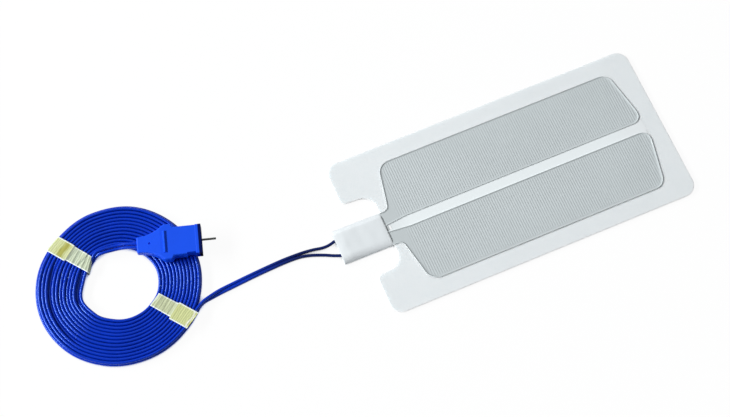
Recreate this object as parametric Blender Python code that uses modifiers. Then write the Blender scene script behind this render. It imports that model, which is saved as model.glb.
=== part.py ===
"""A split patient return electrode: foam pad, two gel halves, connection sleeve, coiled twin lead and plug.

The pad lies gel side up with its long axis on X. The sleeve and the lead are at its -X end.
The origin is under the middle of the pad and its sleeve, on the surface that they lie on.
"""

import math

import bmesh
import bpy
from mathutils import Matrix, Vector

MM = 0.001

# Clearance between neighbouring pieces
CLEARANCE = 0.3 * MM
WELD_DISTANCE = 0.001 * MM
CUT_MARGIN = 1.0 * MM

# Foam backing
FOAM_LENGTH = 182.3 * MM
FOAM_WIDTH = 103.2 * MM
FOAM_THICKNESS = 1.4 * MM
FOAM_FAR_RADIUS = 8.0 * MM
LEFT_LOBE_REACH = 19.1 * MM
RIGHT_LOBE_REACH = 17.3 * MM
LOBE_OUTER_RADIUS = 7.5 * MM
LOBE_INNER_RADIUS = 3.6 * MM
BAY_HALF_WIDTH = 23.8 * MM
BAY_FLARE = 1.0 * MM
BAY_ROOT_RADIUS = 8.4 * MM

# Carrier film, foil halves and gel halves
FILM_THICKNESS = 0.2 * MM
FOIL_THICKNESS = 0.2 * MM
GEL_THICKNESS = 0.7 * MM
FOIL_INSET = 0.5 * MM
SPLIT_GAP = 6.6 * MM
SPLIT_GAP_AT_NECK = 3.8 * MM
SPLIT_TAPER_LENGTH = 14.0 * MM
SIDE_MARGIN = 11.2 * MM
FAR_MARGIN = 9.8 * MM
NECK_LENGTH = 5.6 * MM
NECK_FILLET = 4.0 * MM
NEAR_EDGE_SLOPE = 0.2
FAR_EDGE_SLOPE = 0.19
GEL_OUTER_RADIUS = 8.4 * MM
GEL_FAR_OUTER_RADIUS = 7.4 * MM
GEL_FAR_INNER_RADIUS = 5.8 * MM

# Strip of film that keeps the two foil tabs apart
DIVIDER_SIDE_GAP = 1.1 * MM
DIVIDER_REACH = 3.0 * MM

# Connection sleeve, one strip of foam tape folded round the joint
SLEEVE_LENGTH = 31.2 * MM
SLEEVE_WIDTH = 22.0 * MM
SLEEVE_WALL = 0.8 * MM
SLEEVE_SEAM_WIDTH = 0.5 * MM
SLEEVE_SEAM_RISE = 1.6 * MM
TAB_SIDE_PLAY = 1.0 * MM
WIRE_ENTRY = 3.9 * MM

# Crimp clips inside the sleeve
CLIP_SPACING = 10.4 * MM
CLIP_WIDTH = 5.0 * MM
CLIP_GRIP_LENGTH = 7.0 * MM
CLIP_METAL = 0.3 * MM
BARREL_LENGTH = 4.4 * MM
BARREL_WALL = 0.23 * MM
CONDUCTOR_RADIUS = 0.35 * MM

# Lead wires
WIRE_DIAMETER = 1.9 * MM
WIRE_POINT_SPACING = 4.0 * MM
WIRE_FLOOR_GAP = 0.05 * MM
WEB_WIDTH = 0.1 * MM

# Coil, from the end of the sleeve to its centre, and the two paper tapes round it
COIL_OFFSET = (-127.2 * MM, 29.1 * MM)
COIL_OUTER_RADIUS = 49.5 * MM
COIL_INNER_RADIUS = 22.0 * MM
COIL_EDGE = 0.6 * MM
TAPE_THICKNESS = 0.3 * MM
TAPE_WIDTH = 9.6 * MM
TAPE_BEND = 0.4 * MM
TAPE_OVERLAP_START = 13.0 * MM
TAPE_FLAP = 1.4 * MM
# Name, place round the coil and skew in degrees
TAPES = (
    ("coil_tape_rear", 124.0, 0.5),
    ("coil_tape_front", -48.0, -1.5),
)

# Plug body, in its own frame: U from the cord end to the face, V to its left, W up
PLUG_OFFSET = (17.87 * MM, 16.7 * MM)
PLUG_TURN = -17.0
PLUG_LENGTH = 38.4 * MM
PLUG_REAR_WIDTH = 10.0 * MM
PLUG_REAR_THICKNESS = 4.6 * MM
PLUG_TAPER_LENGTH = 14.0 * MM
PLUG_WING_START = 16.4 * MM
PLUG_WING_LENGTH = 4.4 * MM
WING_PROJECTION = 2.1 * MM
WING_STEP = 1.1 * MM
REAR_FLARE_POWER = 2.4
REAR_FLARE_STEPS = 5
BODY_WALL = 1.5 * MM
BODY_SKIN = 0.7 * MM
PLUG_EDGE_RADIUS = 0.8 * MM
LIP_LENGTH = 1.8 * MM
LIP_OVERHANG = 0.3 * MM
RIDGE_LEAD = 1.2 * MM
RIDGE_WIDTH = 2.0 * MM
RIDGE_LENGTH = 13.4 * MM
RIDGE_HEIGHT = 0.9 * MM
RIDGE_CREST = (0.55, 0.8)
KEY_SETBACK = 3.8 * MM
KEY_LENGTH = 5.2 * MM
KEY_DEPTH = 1.1 * MM
DIMPLE_PLACE = 7.6 * MM
DIMPLE_RADIUS = 0.7 * MM

# Contact carrier, sockets and locating pin
FACE_THICKNESS = 1.4 * MM
CORE_WALL = 1.0 * MM
CORE_SKIN = 0.7 * MM
CRIMP_PROJECTION = 1.0 * MM
SOCKET_SPACING = 9.2 * MM
SOCKET_BORE_RADIUS = 1.0 * MM
SOCKET_WALL = 0.3 * MM
SOCKET_LENGTH = 11.0 * MM
SOCKET_FLOOR = 2.0 * MM
SOCKET_SLIT = 0.4 * MM
SOCKET_SLIT_DEPTH = 5.0 * MM
SOCKET_CRIMP_LENGTH = 4.0 * MM
HOLE_PLAY = 0.15 * MM
PIN_RADIUS = 0.65 * MM
PIN_REACH = 8.4 * MM
PIN_ROOT = 8.0 * MM
REAR_WIRE_GAP = 0.4 * MM
REAR_WIRE_RUN = 5.0 * MM

# Sizes that follow from the ones above
ACTIVE_WIDTH = FOAM_WIDTH - 2 * SIDE_MARGIN
NECK_WIDTH = SLEEVE_WIDTH
TAB_WIDTH = SLEEVE_WIDTH - 2 * (SLEEVE_WALL + TAB_SIDE_PLAY)
DIVIDER_WIDTH = SPLIT_GAP_AT_NECK + 2 * FOIL_INSET - 2 * DIVIDER_SIDE_GAP
WIRE_RADIUS = WIRE_DIAMETER / 2
WIRE_SPACING = WIRE_DIAMETER + CLEARANCE
CHANNEL_RADIUS = WIRE_RADIUS + CLEARANCE
REAR_WIRE_SPACING = WIRE_DIAMETER + REAR_WIRE_GAP
COIL_HEIGHT = 2 * WIRE_DIAMETER + WEB_WIDTH
BARREL_BORE_RADIUS = CONDUCTOR_RADIUS + CLEARANCE
BARREL_OUTER_RADIUS = BARREL_BORE_RADIUS + BARREL_WALL
SOCKET_OUTER_RADIUS = SOCKET_BORE_RADIUS + SOCKET_WALL
FACE_HOLE_RADIUS = SOCKET_BORE_RADIUS + HOLE_PLAY
CORE_WIDTH = SOCKET_SPACING + 2 * (SOCKET_OUTER_RADIUS + CLEARANCE + CORE_WALL)
CORE_THICKNESS = 2 * (SOCKET_OUTER_RADIUS + CLEARANCE + CORE_SKIN)
CORE_LENGTH = SOCKET_LENGTH + SOCKET_CRIMP_LENGTH - CRIMP_PROJECTION
PLUG_BLOCK_WIDTH = CORE_WIDTH + 2 * (CLEARANCE + BODY_WALL)
PLUG_THICKNESS = CORE_THICKNESS + 2 * (CLEARANCE + BODY_SKIN)
PLUG_WING_WIDTH = PLUG_BLOCK_WIDTH + 2 * WING_PROJECTION

# Heights, from the surface that the pad lies on
FILM_BOTTOM = FOAM_THICKNESS + CLEARANCE
FOIL_BOTTOM = FILM_BOTTOM + FILM_THICKNESS + CLEARANCE
GEL_BOTTOM = FOIL_BOTTOM + FOIL_THICKNESS + CLEARANCE
TAB_MIDDLE_Z = (FILM_BOTTOM + FOIL_BOTTOM + FOIL_THICKNESS) / 2
CLIP_TOP = FOIL_BOTTOM + FOIL_THICKNESS + CLEARANCE + CLIP_METAL
CLIP_BOTTOM = FILM_BOTTOM - CLEARANCE - CLIP_METAL
SLEEVE_HALF_HEIGHT = max(CLIP_TOP - TAB_MIDDLE_Z, WIRE_RADIUS) + CLEARANCE + SLEEVE_WALL
WIRE_REST_HEIGHT = WIRE_RADIUS + WIRE_FLOOR_GAP
COIL_BOTTOM = TAPE_THICKNESS + CLEARANCE
COIL_TOP = COIL_BOTTOM + COIL_HEIGHT
PLUG_MIDDLE_Z = COIL_TOP + CLEARANCE + LIP_OVERHANG + PLUG_THICKNESS / 2

# Places along the pad and its sleeve
OVERALL_LENGTH = SLEEVE_LENGTH + CLEARANCE + FOAM_LENGTH
FAR_X = OVERALL_LENGTH / 2
NECK_X = FAR_X - FOAM_LENGTH
SLEEVE_MOUTH_X = NECK_X - CLEARANCE
SLEEVE_END_X = SLEEVE_MOUTH_X - SLEEVE_LENGTH
WIRE_END_X = SLEEVE_END_X + WIRE_ENTRY
TAB_END_X = WIRE_END_X + CLEARANCE + BARREL_LENGTH + CLIP_METAL + CLEARANCE
COIL_CENTRE = (SLEEVE_END_X + COIL_OFFSET[0], COIL_OFFSET[1])

# Places along the plug
FACE_BACK_U = PLUG_LENGTH - FACE_THICKNESS
BODY_FRONT_U = FACE_BACK_U - CLEARANCE
CORE_START_U = FACE_BACK_U - CORE_LENGTH
SOCKET_FRONT_U = FACE_BACK_U
SOCKET_REAR_U = SOCKET_FRONT_U - SOCKET_LENGTH
CRIMP_REAR_U = SOCKET_REAR_U - SOCKET_CRIMP_LENGTH
KEY_START_U = PLUG_LENGTH - KEY_SETBACK - KEY_LENGTH
RIDGE_START_U = PLUG_WING_START - RIDGE_LEAD
PLUG_REAR = Vector((COIL_CENTRE[0] + PLUG_OFFSET[0], COIL_CENTRE[1] + PLUG_OFFSET[1], PLUG_MIDDLE_Z))
PLUG_FRAME = Matrix.Translation(PLUG_REAR) @ Matrix.Rotation(math.radians(PLUG_TURN), 4, "Z")

# Routes in millimetres. The free lead runs from the coil to the place where it splits.
# Each point is the middle of the pair, from the end of the sleeve and above the height at which a wire rests.
# The angle says how far the pair is turned on edge.
TAIL_ROUTE = (
    ((-89.0, -4.5, 1.7), 90.0),
    ((-85.8, -1.2, 1.6), 82.0),
    ((-81.1, 1.1, 1.2), 62.0),
    ((-74.1, 2.5, 0.7), 32.0),
    ((-65.7, 3.4, 0.2), 8.0),
    ((-50.6, 4.6, 0.0), 0.0),
    ((-34.3, 5.4, 0.0), 0.0),
    ((-24.6, 5.3, 0.0), 0.0),
)
# Each wire on its own from the split to the mouth of the sleeve, measured in the same way
LEFT_LEG = ((-19.1, 6.0, 0.0), (-13.5, 5.3, 0.0), (-8.1, 4.2, 0.1), (-3.6, 4.1, 0.7))
RIGHT_LEG = ((-19.1, 3.4, 0.0), (-13.9, 1.7, 0.0), (-8.6, -0.6, 0.1), (-3.7, -3.3, 0.7))
# Middle of the pair on its way to the back of the plug, from the centre of the coil and above its top
PLUG_TAIL_ROUTE = ((-3.5, 23.1, 1.3), (2.3, 22.8, 1.3), (7.3, 21.5, 1.7), (12.2, 19.6, 2.9))


def clear_scene():
    for item in list(bpy.data.objects):
        bpy.data.objects.remove(item, do_unlink=True)


def make_collection(name):
    collection = bpy.data.collections.new(name)
    bpy.context.scene.collection.children.link(collection)
    return collection


def make_material(name, colour, roughness, metallic=0.0):
    material = bpy.data.materials.new(name)
    material.use_nodes = True
    shader = material.node_tree.nodes["Principled BSDF"]
    shader.inputs["Base Color"].default_value = (*colour, 1.0)
    shader.inputs["Roughness"].default_value = roughness
    shader.inputs["Metallic"].default_value = metallic
    return material


def place(name, data, material, parent=None):
    piece = bpy.data.objects.new(name, data)
    if material:
        data.materials.append(material)
        parts.objects.link(piece)
    else:
        cutters.objects.link(piece)
        piece.hide_render = True
        piece.display_type = "WIRE"
    piece.parent = parent
    return piece


def rounded_outline(corners, arc_step=15.0):
    """Turn corners (x, y, radius) into points, with an arc at each corner that has a radius."""
    points = []
    for index, (x, y, radius) in enumerate(corners):
        corner = Vector((x, y))
        if not radius:
            points.append(corner)
            continue
        before = (Vector(corners[index - 1][:2]) - corner).normalized()
        after = (Vector(corners[(index + 1) % len(corners)][:2]) - corner).normalized()
        half = before.angle(after) / 2
        centre = corner + (before + after).normalized() * radius / math.sin(half)
        start = corner + before * radius / math.tan(half) - centre
        turn = math.pi - 2 * half
        if before.x * after.y - before.y * after.x > 0:
            turn = -turn
        steps = max(2, round(abs(math.degrees(turn)) / arc_step))
        for step in range(steps + 1):
            points.append(centre + Matrix.Rotation(turn * step / steps, 2) @ start)
    return points


def curve_outline(name, points, z, thickness, material, parent=None):
    """A flat piece: a closed 2D curve, filled and extruded, with its underside at z."""
    curve = bpy.data.curves.new(name, "CURVE")
    curve.dimensions = "2D"
    curve.fill_mode = "BOTH"
    curve.extrude = thickness / 2
    spline = curve.splines.new("POLY")
    spline.points.add(len(points) - 1)
    for target, point in zip(spline.points, points):
        target.co = (point.x, point.y, 0.0, 1.0)
    spline.use_cyclic_u = True
    piece = place(name, curve, material, parent)
    piece.location.z = z + thickness / 2
    return piece


def curve_tube(name, points, radius, material, parent=None):
    """A round wire or bore along points, with flat closed ends."""
    curve = bpy.data.curves.new(name, "CURVE")
    curve.dimensions = "3D"
    curve.bevel_depth = radius
    curve.bevel_resolution = 2
    curve.use_fill_caps = True
    spline = curve.splines.new("POLY")
    spline.points.add(len(points) - 1)
    for target, point in zip(spline.points, points):
        target.co = (*point, 1.0)
    return place(name, curve, material, parent)


def as_mesh(piece, material=None):
    """Replace a curve by its welded mesh, so that it can cut or be cut."""
    bpy.context.view_layer.update()
    name = piece.name
    matrix = piece.matrix_world.copy()
    evaluated = piece.evaluated_get(bpy.context.evaluated_depsgraph_get())
    mesh = bpy.data.meshes.new_from_object(evaluated)
    bpy.data.objects.remove(piece, do_unlink=True)
    work = bmesh.new()
    work.from_mesh(mesh)
    bmesh.ops.remove_doubles(work, verts=work.verts, dist=WELD_DISTANCE)
    work.to_mesh(mesh)
    work.free()
    mesh.materials.clear()
    solid = place(name, mesh, material)
    solid.matrix_world = matrix
    return solid


def box(name, low, high, material, parent=None):
    work = bmesh.new()
    bmesh.ops.create_cube(work, size=1.0)
    low, high = Vector(low), Vector(high)
    size = high - low
    for vertex in work.verts:
        vertex.co = (low + high) / 2 + Vector(a * b for a, b in zip(vertex.co, size))
    mesh = bpy.data.meshes.new(name)
    work.to_mesh(mesh)
    work.free()
    return place(name, mesh, material, parent)


def rod(name, start, end, radius, material, parent=None, segments=24):
    """A straight round rod between two points."""
    work = bmesh.new()
    start, end = Vector(start), Vector(end)
    turn = (end - start).to_track_quat("Z", "Y").to_matrix().to_4x4()
    matrix = Matrix.Translation((start + end) / 2) @ turn
    bmesh.ops.create_cone(
        work,
        cap_ends=True,
        segments=segments,
        radius1=radius,
        radius2=radius,
        depth=(end - start).length,
        matrix=matrix,
    )
    mesh = bpy.data.meshes.new(name)
    work.to_mesh(mesh)
    work.free()
    return place(name, mesh, material, parent)


def extruded_outline(name, points, half_height, material, parent=None):
    """A solid with a flat outline, as a mesh that modifiers can work on."""
    work = bmesh.new()
    ring = [work.verts.new((point[0], point[1], -half_height)) for point in points]
    face = work.faces.new(ring)
    lifted = bmesh.ops.extrude_face_region(work, geom=[face])
    top = [item for item in lifted["geom"] if isinstance(item, bmesh.types.BMVert)]
    bmesh.ops.translate(work, verts=top, vec=(0.0, 0.0, 2 * half_height))
    bmesh.ops.recalc_face_normals(work, faces=work.faces)
    mesh = bpy.data.meshes.new(name)
    work.to_mesh(mesh)
    work.free()
    return place(name, mesh, material, parent)


def folded_strip(name, path, thickness, width, material, parent=None):
    """A strip bent along a path in its own YZ plane and as wide as given along X."""
    work = bmesh.new()
    line = [work.verts.new((-width / 2, y, z)) for y, z in path]
    edges = [work.edges.new(pair) for pair in zip(line, line[1:])]
    swept = bmesh.ops.extrude_edge_only(work, edges=edges)
    moved = [item for item in swept["geom"] if isinstance(item, bmesh.types.BMVert)]
    bmesh.ops.translate(work, verts=moved, vec=(width, 0.0, 0.0))
    mesh = bpy.data.meshes.new(name)
    work.to_mesh(mesh)
    work.free()
    strip = place(name, mesh, material, parent)
    wall = strip.modifiers.new("Wall", "SOLIDIFY")
    wall.thickness = thickness
    wall.offset = 0.0
    wall.use_even_offset = True
    return strip


def boolean(piece, cutter, operation="DIFFERENCE"):
    """Cut or join, then weld and triangulate, so that the next cut meets flat faces only."""
    modifier = piece.modifiers.new(cutter.name, "BOOLEAN")
    modifier.operation = operation
    modifier.object = cutter
    modifier.solver = "EXACT"
    weld = piece.modifiers.new(f"{cutter.name} weld", "WELD")
    weld.merge_threshold = WELD_DISTANCE
    piece.modifiers.new(f"{cutter.name} triangles", "TRIANGULATE")


def round_edges(piece, width, segments=2, angle=30.0):
    modifier = piece.modifiers.new("Rounded edges", "BEVEL")
    modifier.width = width
    modifier.segments = segments
    modifier.limit_method = "ANGLE"
    modifier.angle_limit = math.radians(angle)


def arc(centre, radius, start, end, steps):
    """Points on an arc in a plane, from one angle to another in degrees."""
    angles = [math.radians(start + (end - start) * step / steps) for step in range(steps + 1)]
    return [(centre[0] + radius * math.cos(a), centre[1] + radius * math.sin(a)) for a in angles]


def smooth_route(points, spacing):
    """Points at an even spacing on a smooth curve through the given ones."""
    given = [Vector(point) for point in points]
    padded = [2 * given[0] - given[1], *given, 2 * given[-1] - given[-2]]
    dense = []
    for a, b, c, d in zip(padded, padded[1:], padded[2:], padded[3:]):
        linear = c - a
        square = 2 * a - 5 * b + 4 * c - d
        cube = 3 * b - a - 3 * c + d
        for step in range(20):
            t = step / 20
            dense.append(0.5 * (2 * b + linear * t + square * t**2 + cube * t**3))
    dense.append(given[-1])
    lengths = [0.0]
    for a, b in zip(dense, dense[1:]):
        lengths.append(lengths[-1] + (b - a).length)
    count = max(2, round(lengths[-1] / spacing))
    route = []
    index = 0
    for step in range(count + 1):
        wanted = lengths[-1] * step / count
        while index < len(dense) - 2 and lengths[index + 1] < wanted:
            index += 1
        share = (wanted - lengths[index]) / (lengths[index + 1] - lengths[index])
        route.append(dense[index].lerp(dense[index + 1], min(share, 1.0)))
    return route


def route_points(points, origin):
    """Turn a route's millimetres into places in the model."""
    return [Vector(origin) + Vector(point) * MM for point in points]


def make_foam():
    half = FOAM_WIDTH / 2
    left_end = NECK_X - LEFT_LOBE_REACH
    right_end = NECK_X - RIGHT_LOBE_REACH
    corners = (
        (FAR_X, -half, FOAM_FAR_RADIUS),
        (FAR_X, half, FOAM_FAR_RADIUS),
        (left_end, half, LOBE_OUTER_RADIUS),
        (left_end, BAY_HALF_WIDTH + BAY_FLARE, LOBE_INNER_RADIUS),
        (NECK_X, BAY_HALF_WIDTH, BAY_ROOT_RADIUS),
        (NECK_X, -BAY_HALF_WIDTH, BAY_ROOT_RADIUS),
        (right_end, -BAY_HALF_WIDTH - BAY_FLARE, LOBE_INNER_RADIUS),
        (right_end, -half, LOBE_OUTER_RADIUS),
    )
    curve_outline("foam_backing", rounded_outline(corners), 0.0, FOAM_THICKNESS, foam)


def half_corners(inset, near_x):
    """Corners of the left half from its neck round to its split edge, drawn in by inset."""
    outer = ACTIVE_WIDTH / 2 - inset
    inner = SPLIT_GAP / 2 + inset
    neck_outer = NECK_WIDTH / 2 - inset
    neck_inner = SPLIT_GAP_AT_NECK / 2 + inset
    neck_end = NECK_X + NECK_LENGTH + inset
    far_inner = FAR_X - FAR_MARGIN - inset + FAR_EDGE_SLOPE * inset
    near_outer = neck_end + NEAR_EDGE_SLOPE * (outer - neck_outer)
    far_outer = far_inner - FAR_EDGE_SLOPE * (outer - inner)
    return [
        (near_x, neck_outer, 0.0),
        (near_x, neck_inner, 0.0),
        (NECK_X + SPLIT_TAPER_LENGTH, inner, 0.0),
        (far_inner + FAR_EDGE_SLOPE * inner / 2, inner, GEL_FAR_INNER_RADIUS),
        (far_outer, outer, GEL_FAR_OUTER_RADIUS),
        (near_outer, outer, GEL_OUTER_RADIUS),
        (neck_end, neck_outer, NECK_FILLET),
    ]


def mirrored(corners, side):
    if side > 0:
        return corners
    return [(x, -y, radius) for x, y, radius in reversed(corners)]


def make_halves():
    for side, word in ((1, "left"), (-1, "right")):
        gel_corners = half_corners(0.0, NECK_X)
        gel_outline = rounded_outline(mirrored(gel_corners, side))
        curve_outline(f"gel_pad_{word}", gel_outline, GEL_BOTTOM, GEL_THICKNESS, gel)
        foil_corners = half_corners(FOIL_INSET, NECK_X)
        tab_inner = foil_corners[1][1]
        tab = [(NECK_X, TAB_WIDTH / 2, 0.0), (TAB_END_X, TAB_WIDTH / 2, 0.0), (TAB_END_X, tab_inner, 0.0)]
        foil_outline = rounded_outline(mirrored(foil_corners[:1] + tab + foil_corners[2:], side))
        curve_outline(f"foil_plate_{word}", foil_outline, FOIL_BOTTOM, FOIL_THICKNESS, foil)


def make_carrier_film():
    edge = half_corners(FOIL_INSET / 2, NECK_X)
    neck_corner, far_inner, far_outer, near_outer, neck_fillet = edge[0], edge[3], edge[4], edge[5], edge[6]
    left = [
        (far_inner[0], far_inner[1], GEL_FAR_INNER_RADIUS),
        far_outer,
        near_outer,
        neck_fillet,
        neck_corner,
        (NECK_X, TAB_WIDTH / 2, 0.0),
        (TAB_END_X, TAB_WIDTH / 2, 0.0),
    ]
    corners = left + mirrored(left, -1)
    curve_outline("carrier_film", rounded_outline(corners), FILM_BOTTOM, FILM_THICKNESS, film)


def make_divider():
    low = (TAB_END_X, -DIVIDER_WIDTH / 2, FOIL_BOTTOM)
    high = (NECK_X + DIVIDER_REACH, DIVIDER_WIDTH / 2, FOIL_BOTTOM + FOIL_THICKNESS)
    box("tab_divider", low, high, film)


def make_sleeve():
    """One strip folded over its right edge, with its two long edges pressed together at the left."""
    middle = TAB_MIDDLE_Z
    fold_radius = SLEEVE_HALF_HEIGHT - SLEEVE_WALL / 2
    fold_y = -SLEEVE_WIDTH / 2 + SLEEVE_WALL / 2 + fold_radius
    seam = CLEARANCE / 2 + SLEEVE_WALL / 2
    edge_y = SLEEVE_WIDTH / 2
    seam_y = edge_y - SLEEVE_SEAM_WIDTH
    shoulder_y = seam_y - SLEEVE_SEAM_RISE
    lower = [(edge_y, middle - seam), (seam_y, middle - seam), (shoulder_y, middle - fold_radius)]
    fold = arc((fold_y, middle), fold_radius, 270.0, 90.0, 10)
    upper = [(y, 2 * middle - z) for y, z in reversed(lower)]
    path = lower + fold + upper
    sleeve = folded_strip("connection_sleeve", path, SLEEVE_WALL, SLEEVE_LENGTH, sleeve_foam)
    sleeve.location.x = (SLEEVE_MOUTH_X + SLEEVE_END_X) / 2


def make_clip(side, word):
    """A strip bent over the end of the foil tab, with a barrel for the conductor behind it."""
    y = side * CLIP_SPACING / 2
    top = CLIP_TOP - CLIP_METAL / 2
    bottom = CLIP_BOTTOM + CLIP_METAL / 2
    back = TAB_END_X - CLEARANCE - CLIP_METAL / 2
    front = back + CLIP_GRIP_LENGTH
    path = [(-front, top), (-back, top), (-back, bottom), (-front, bottom)]
    clip = folded_strip(f"crimp_clip_{word}", path, CLIP_METAL, CLIP_WIDTH, plated_metal)
    clip.rotation_euler.z = math.radians(90.0)
    clip.location.y = y
    z = TAB_MIDDLE_Z
    barrel_back = WIRE_END_X + CLEARANCE
    outside = rod(f"{word}_barrel", (barrel_back, y, z), (back, y, z), BARREL_OUTER_RADIUS, None)
    bore_end = back - 1.5 * CLIP_METAL
    bore = rod(f"{word}_bore", (barrel_back - CUT_MARGIN, y, z), (bore_end, y, z), BARREL_BORE_RADIUS, None)
    boolean(clip, outside, "UNION")
    boolean(clip, bore)
    strand_front = bore_end - CLEARANCE
    strand = rod(f"conductor_end_{word}", (barrel_back, y, z), (strand_front, y, z), CONDUCTOR_RADIUS, copper)
    strand.data.shade_smooth()


def make_lead(side, word, leg):
    """One wire of the twin lead, from the coil along the pair and its own leg into the sleeve."""
    points = []
    places = [Vector(point) for point, angle in TAIL_ROUTE]
    for index, (point, angle) in enumerate(TAIL_ROUTE):
        ahead = places[min(index + 1, len(places) - 1)] - places[max(index - 1, 0)]
        across = Vector((-ahead.y, ahead.x, 0.0)).normalized()
        turn = math.radians(angle)
        offset = across * math.cos(turn) + Vector((0.0, 0.0, 1.0)) * math.sin(turn)
        points.append(Vector(point) + offset * side * WIRE_SPACING / MM / 2)
    route = route_points((*points, *leg), (SLEEVE_END_X, 0.0, WIRE_REST_HEIGHT))
    y = side * CLIP_SPACING / 2
    route.append(Vector((SLEEVE_END_X + WIRE_RADIUS, y, TAB_MIDDLE_Z)))
    route.append(Vector((WIRE_END_X, y, TAB_MIDDLE_Z)))
    curve_tube(f"lead_wire_{word}", smooth_route(route, WIRE_POINT_SPACING), WIRE_RADIUS, wire_blue)


def make_coil():
    """The ring that the wound lead fills, turned about the coil's centre."""
    edge = COIL_EDGE
    profile = [
        (COIL_OUTER_RADIUS - edge, COIL_TOP),
        (COIL_OUTER_RADIUS, COIL_TOP - edge),
        (COIL_OUTER_RADIUS, COIL_BOTTOM + edge),
        (COIL_OUTER_RADIUS - edge, COIL_BOTTOM),
        (COIL_INNER_RADIUS + edge, COIL_BOTTOM),
        (COIL_INNER_RADIUS, COIL_BOTTOM + edge),
        (COIL_INNER_RADIUS, COIL_TOP - edge),
        (COIL_INNER_RADIUS + edge, COIL_TOP),
    ]
    work = bmesh.new()
    ring = [work.verts.new((radius, 0.0, z)) for radius, z in profile]
    for pair in zip(ring, ring[1:] + ring[:1]):
        work.edges.new(pair)
    mesh = bpy.data.meshes.new("cable_coil")
    work.to_mesh(mesh)
    work.free()
    coil = place("cable_coil", mesh, wire_blue)
    coil.location = (*COIL_CENTRE, 0.0)
    turned = coil.modifiers.new("Turned", "SCREW")
    turned.axis = "Z"
    turned.steps = 72
    turned.render_steps = 72
    turned.use_merge_vertices = True
    turned.merge_threshold = WELD_DISTANCE


def make_tape(name, angle, skew):
    """A strip wound once round the band of the coil, with its end stuck down on its start."""
    half = TAPE_THICKNESS / 2
    outer = COIL_OUTER_RADIUS + CLEARANCE + half
    inner = math.sqrt(COIL_INNER_RADIUS**2 - (TAPE_WIDTH / 2) ** 2) - CLEARANCE - half
    top = COIL_TOP + CLEARANCE + half
    second = top + TAPE_THICKNESS + CLEARANCE
    overlap = outer - TAPE_OVERLAP_START
    bend = TAPE_BEND
    path = [
        (overlap, top),
        (outer - bend, top),
        (outer, top - bend),
        (outer, half + bend),
        (outer - bend, half),
        (inner + bend, half),
        (inner, half + bend),
        (inner, top - bend),
        (inner + bend, top),
        (overlap - 3 * bend, top),
        (overlap - bend, second),
        (outer + TAPE_FLAP, second),
    ]
    tape = folded_strip(name, path, TAPE_THICKNESS, TAPE_WIDTH, paper_tape)
    tape.location = (*COIL_CENTRE, 0.0)
    tape.rotation_euler.z = math.radians(angle + skew - 90.0)


def plug_wire_path(side):
    """One wire inside the plug, from its clip on the socket to the back of the body."""
    rear_v = side * REAR_WIRE_SPACING / 2
    socket_v = side * SOCKET_SPACING / 2
    middle_u = (REAR_WIRE_RUN + CRIMP_REAR_U) / 2
    return [
        Vector((CRIMP_REAR_U - CLEARANCE, socket_v, 0.0)),
        Vector((CRIMP_REAR_U - 2 * WIRE_DIAMETER, socket_v, 0.0)),
        Vector((middle_u, (rear_v + socket_v) / 2, 0.0)),
        Vector((REAR_WIRE_RUN, rear_v, 0.0)),
        Vector((0.0, rear_v, 0.0)),
    ]


def plug_thickness(u):
    """Thickness of the plug's body at a place along it: it tapers towards the cord."""
    share = min(u / PLUG_TAPER_LENGTH, 1.0)
    return PLUG_REAR_THICKNESS + (PLUG_THICKNESS - PLUG_REAR_THICKNESS) * share


def make_plug_body(frame):
    rear = PLUG_REAR_WIDTH / 2
    wing = PLUG_WING_WIDTH / 2
    block = PLUG_BLOCK_WIDTH / 2
    wing_end = PLUG_WING_START + PLUG_WING_LENGTH
    half = [(0.0, rear)]
    for step in range(1, REAR_FLARE_STEPS):
        share = step / REAR_FLARE_STEPS
        half.append((PLUG_WING_START * share, rear + (wing - rear) * share**REAR_FLARE_POWER))
    half += [
        (PLUG_WING_START, wing),
        (wing_end, wing),
        (wing_end + WING_STEP, block),
        (BODY_FRONT_U - LIP_LENGTH / 2, block),
    ]
    outline = [(u, -v) for u, v in half] + [(u, v) for u, v in reversed(half)]
    body = extruded_outline("plug_body", outline, PLUG_THICKNESS / 2, plug_blue, frame)
    work = bmesh.new()
    work.from_mesh(body.data)
    geometry = work.verts[:] + work.edges[:] + work.faces[:]
    taper_end = Vector((PLUG_TAPER_LENGTH, 0.0, 0.0))
    bmesh.ops.bisect_plane(work, geom=geometry, plane_co=taper_end, plane_no=(1.0, 0.0, 0.0))
    for vertex in work.verts:
        vertex.co.z *= plug_thickness(vertex.co.x) / PLUG_THICKNESS
    work.to_mesh(body.data)
    work.free()
    round_edges(body, PLUG_EDGE_RADIUS, segments=3)
    add_lip(body, frame)
    add_ridge(body, frame)
    cut_pocket(body, frame)
    cut_wire_channels(body, frame)
    cut_key_and_dimple(body, frame)


def add_lip(body, frame):
    half_width = PLUG_BLOCK_WIDTH / 2 + LIP_OVERHANG
    half_height = PLUG_THICKNESS / 2 + LIP_OVERHANG
    lip = box("lip", (BODY_FRONT_U - LIP_LENGTH, -half_width, -half_height),
              (BODY_FRONT_U, half_width, half_height), None, frame)
    round_edges(lip, LIP_OVERHANG, segments=2)
    boolean(body, lip, "UNION")


def add_ridge(body, frame):
    """The finger ridge across the top: a long slope behind and a short one in front."""
    top = PLUG_THICKNESS / 2
    foot = top - PLUG_EDGE_RADIUS
    section = [
        (RIDGE_START_U, foot),
        (RIDGE_START_U + RIDGE_WIDTH * RIDGE_CREST[0], top + RIDGE_HEIGHT),
        (RIDGE_START_U + RIDGE_WIDTH * RIDGE_CREST[1], top + RIDGE_HEIGHT),
        (RIDGE_START_U + RIDGE_WIDTH, foot),
    ]
    ridge = extruded_outline("ridge", section, RIDGE_LENGTH / 2, None, frame)
    ridge.rotation_euler.x = math.radians(90.0)
    boolean(body, ridge, "UNION")


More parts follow.
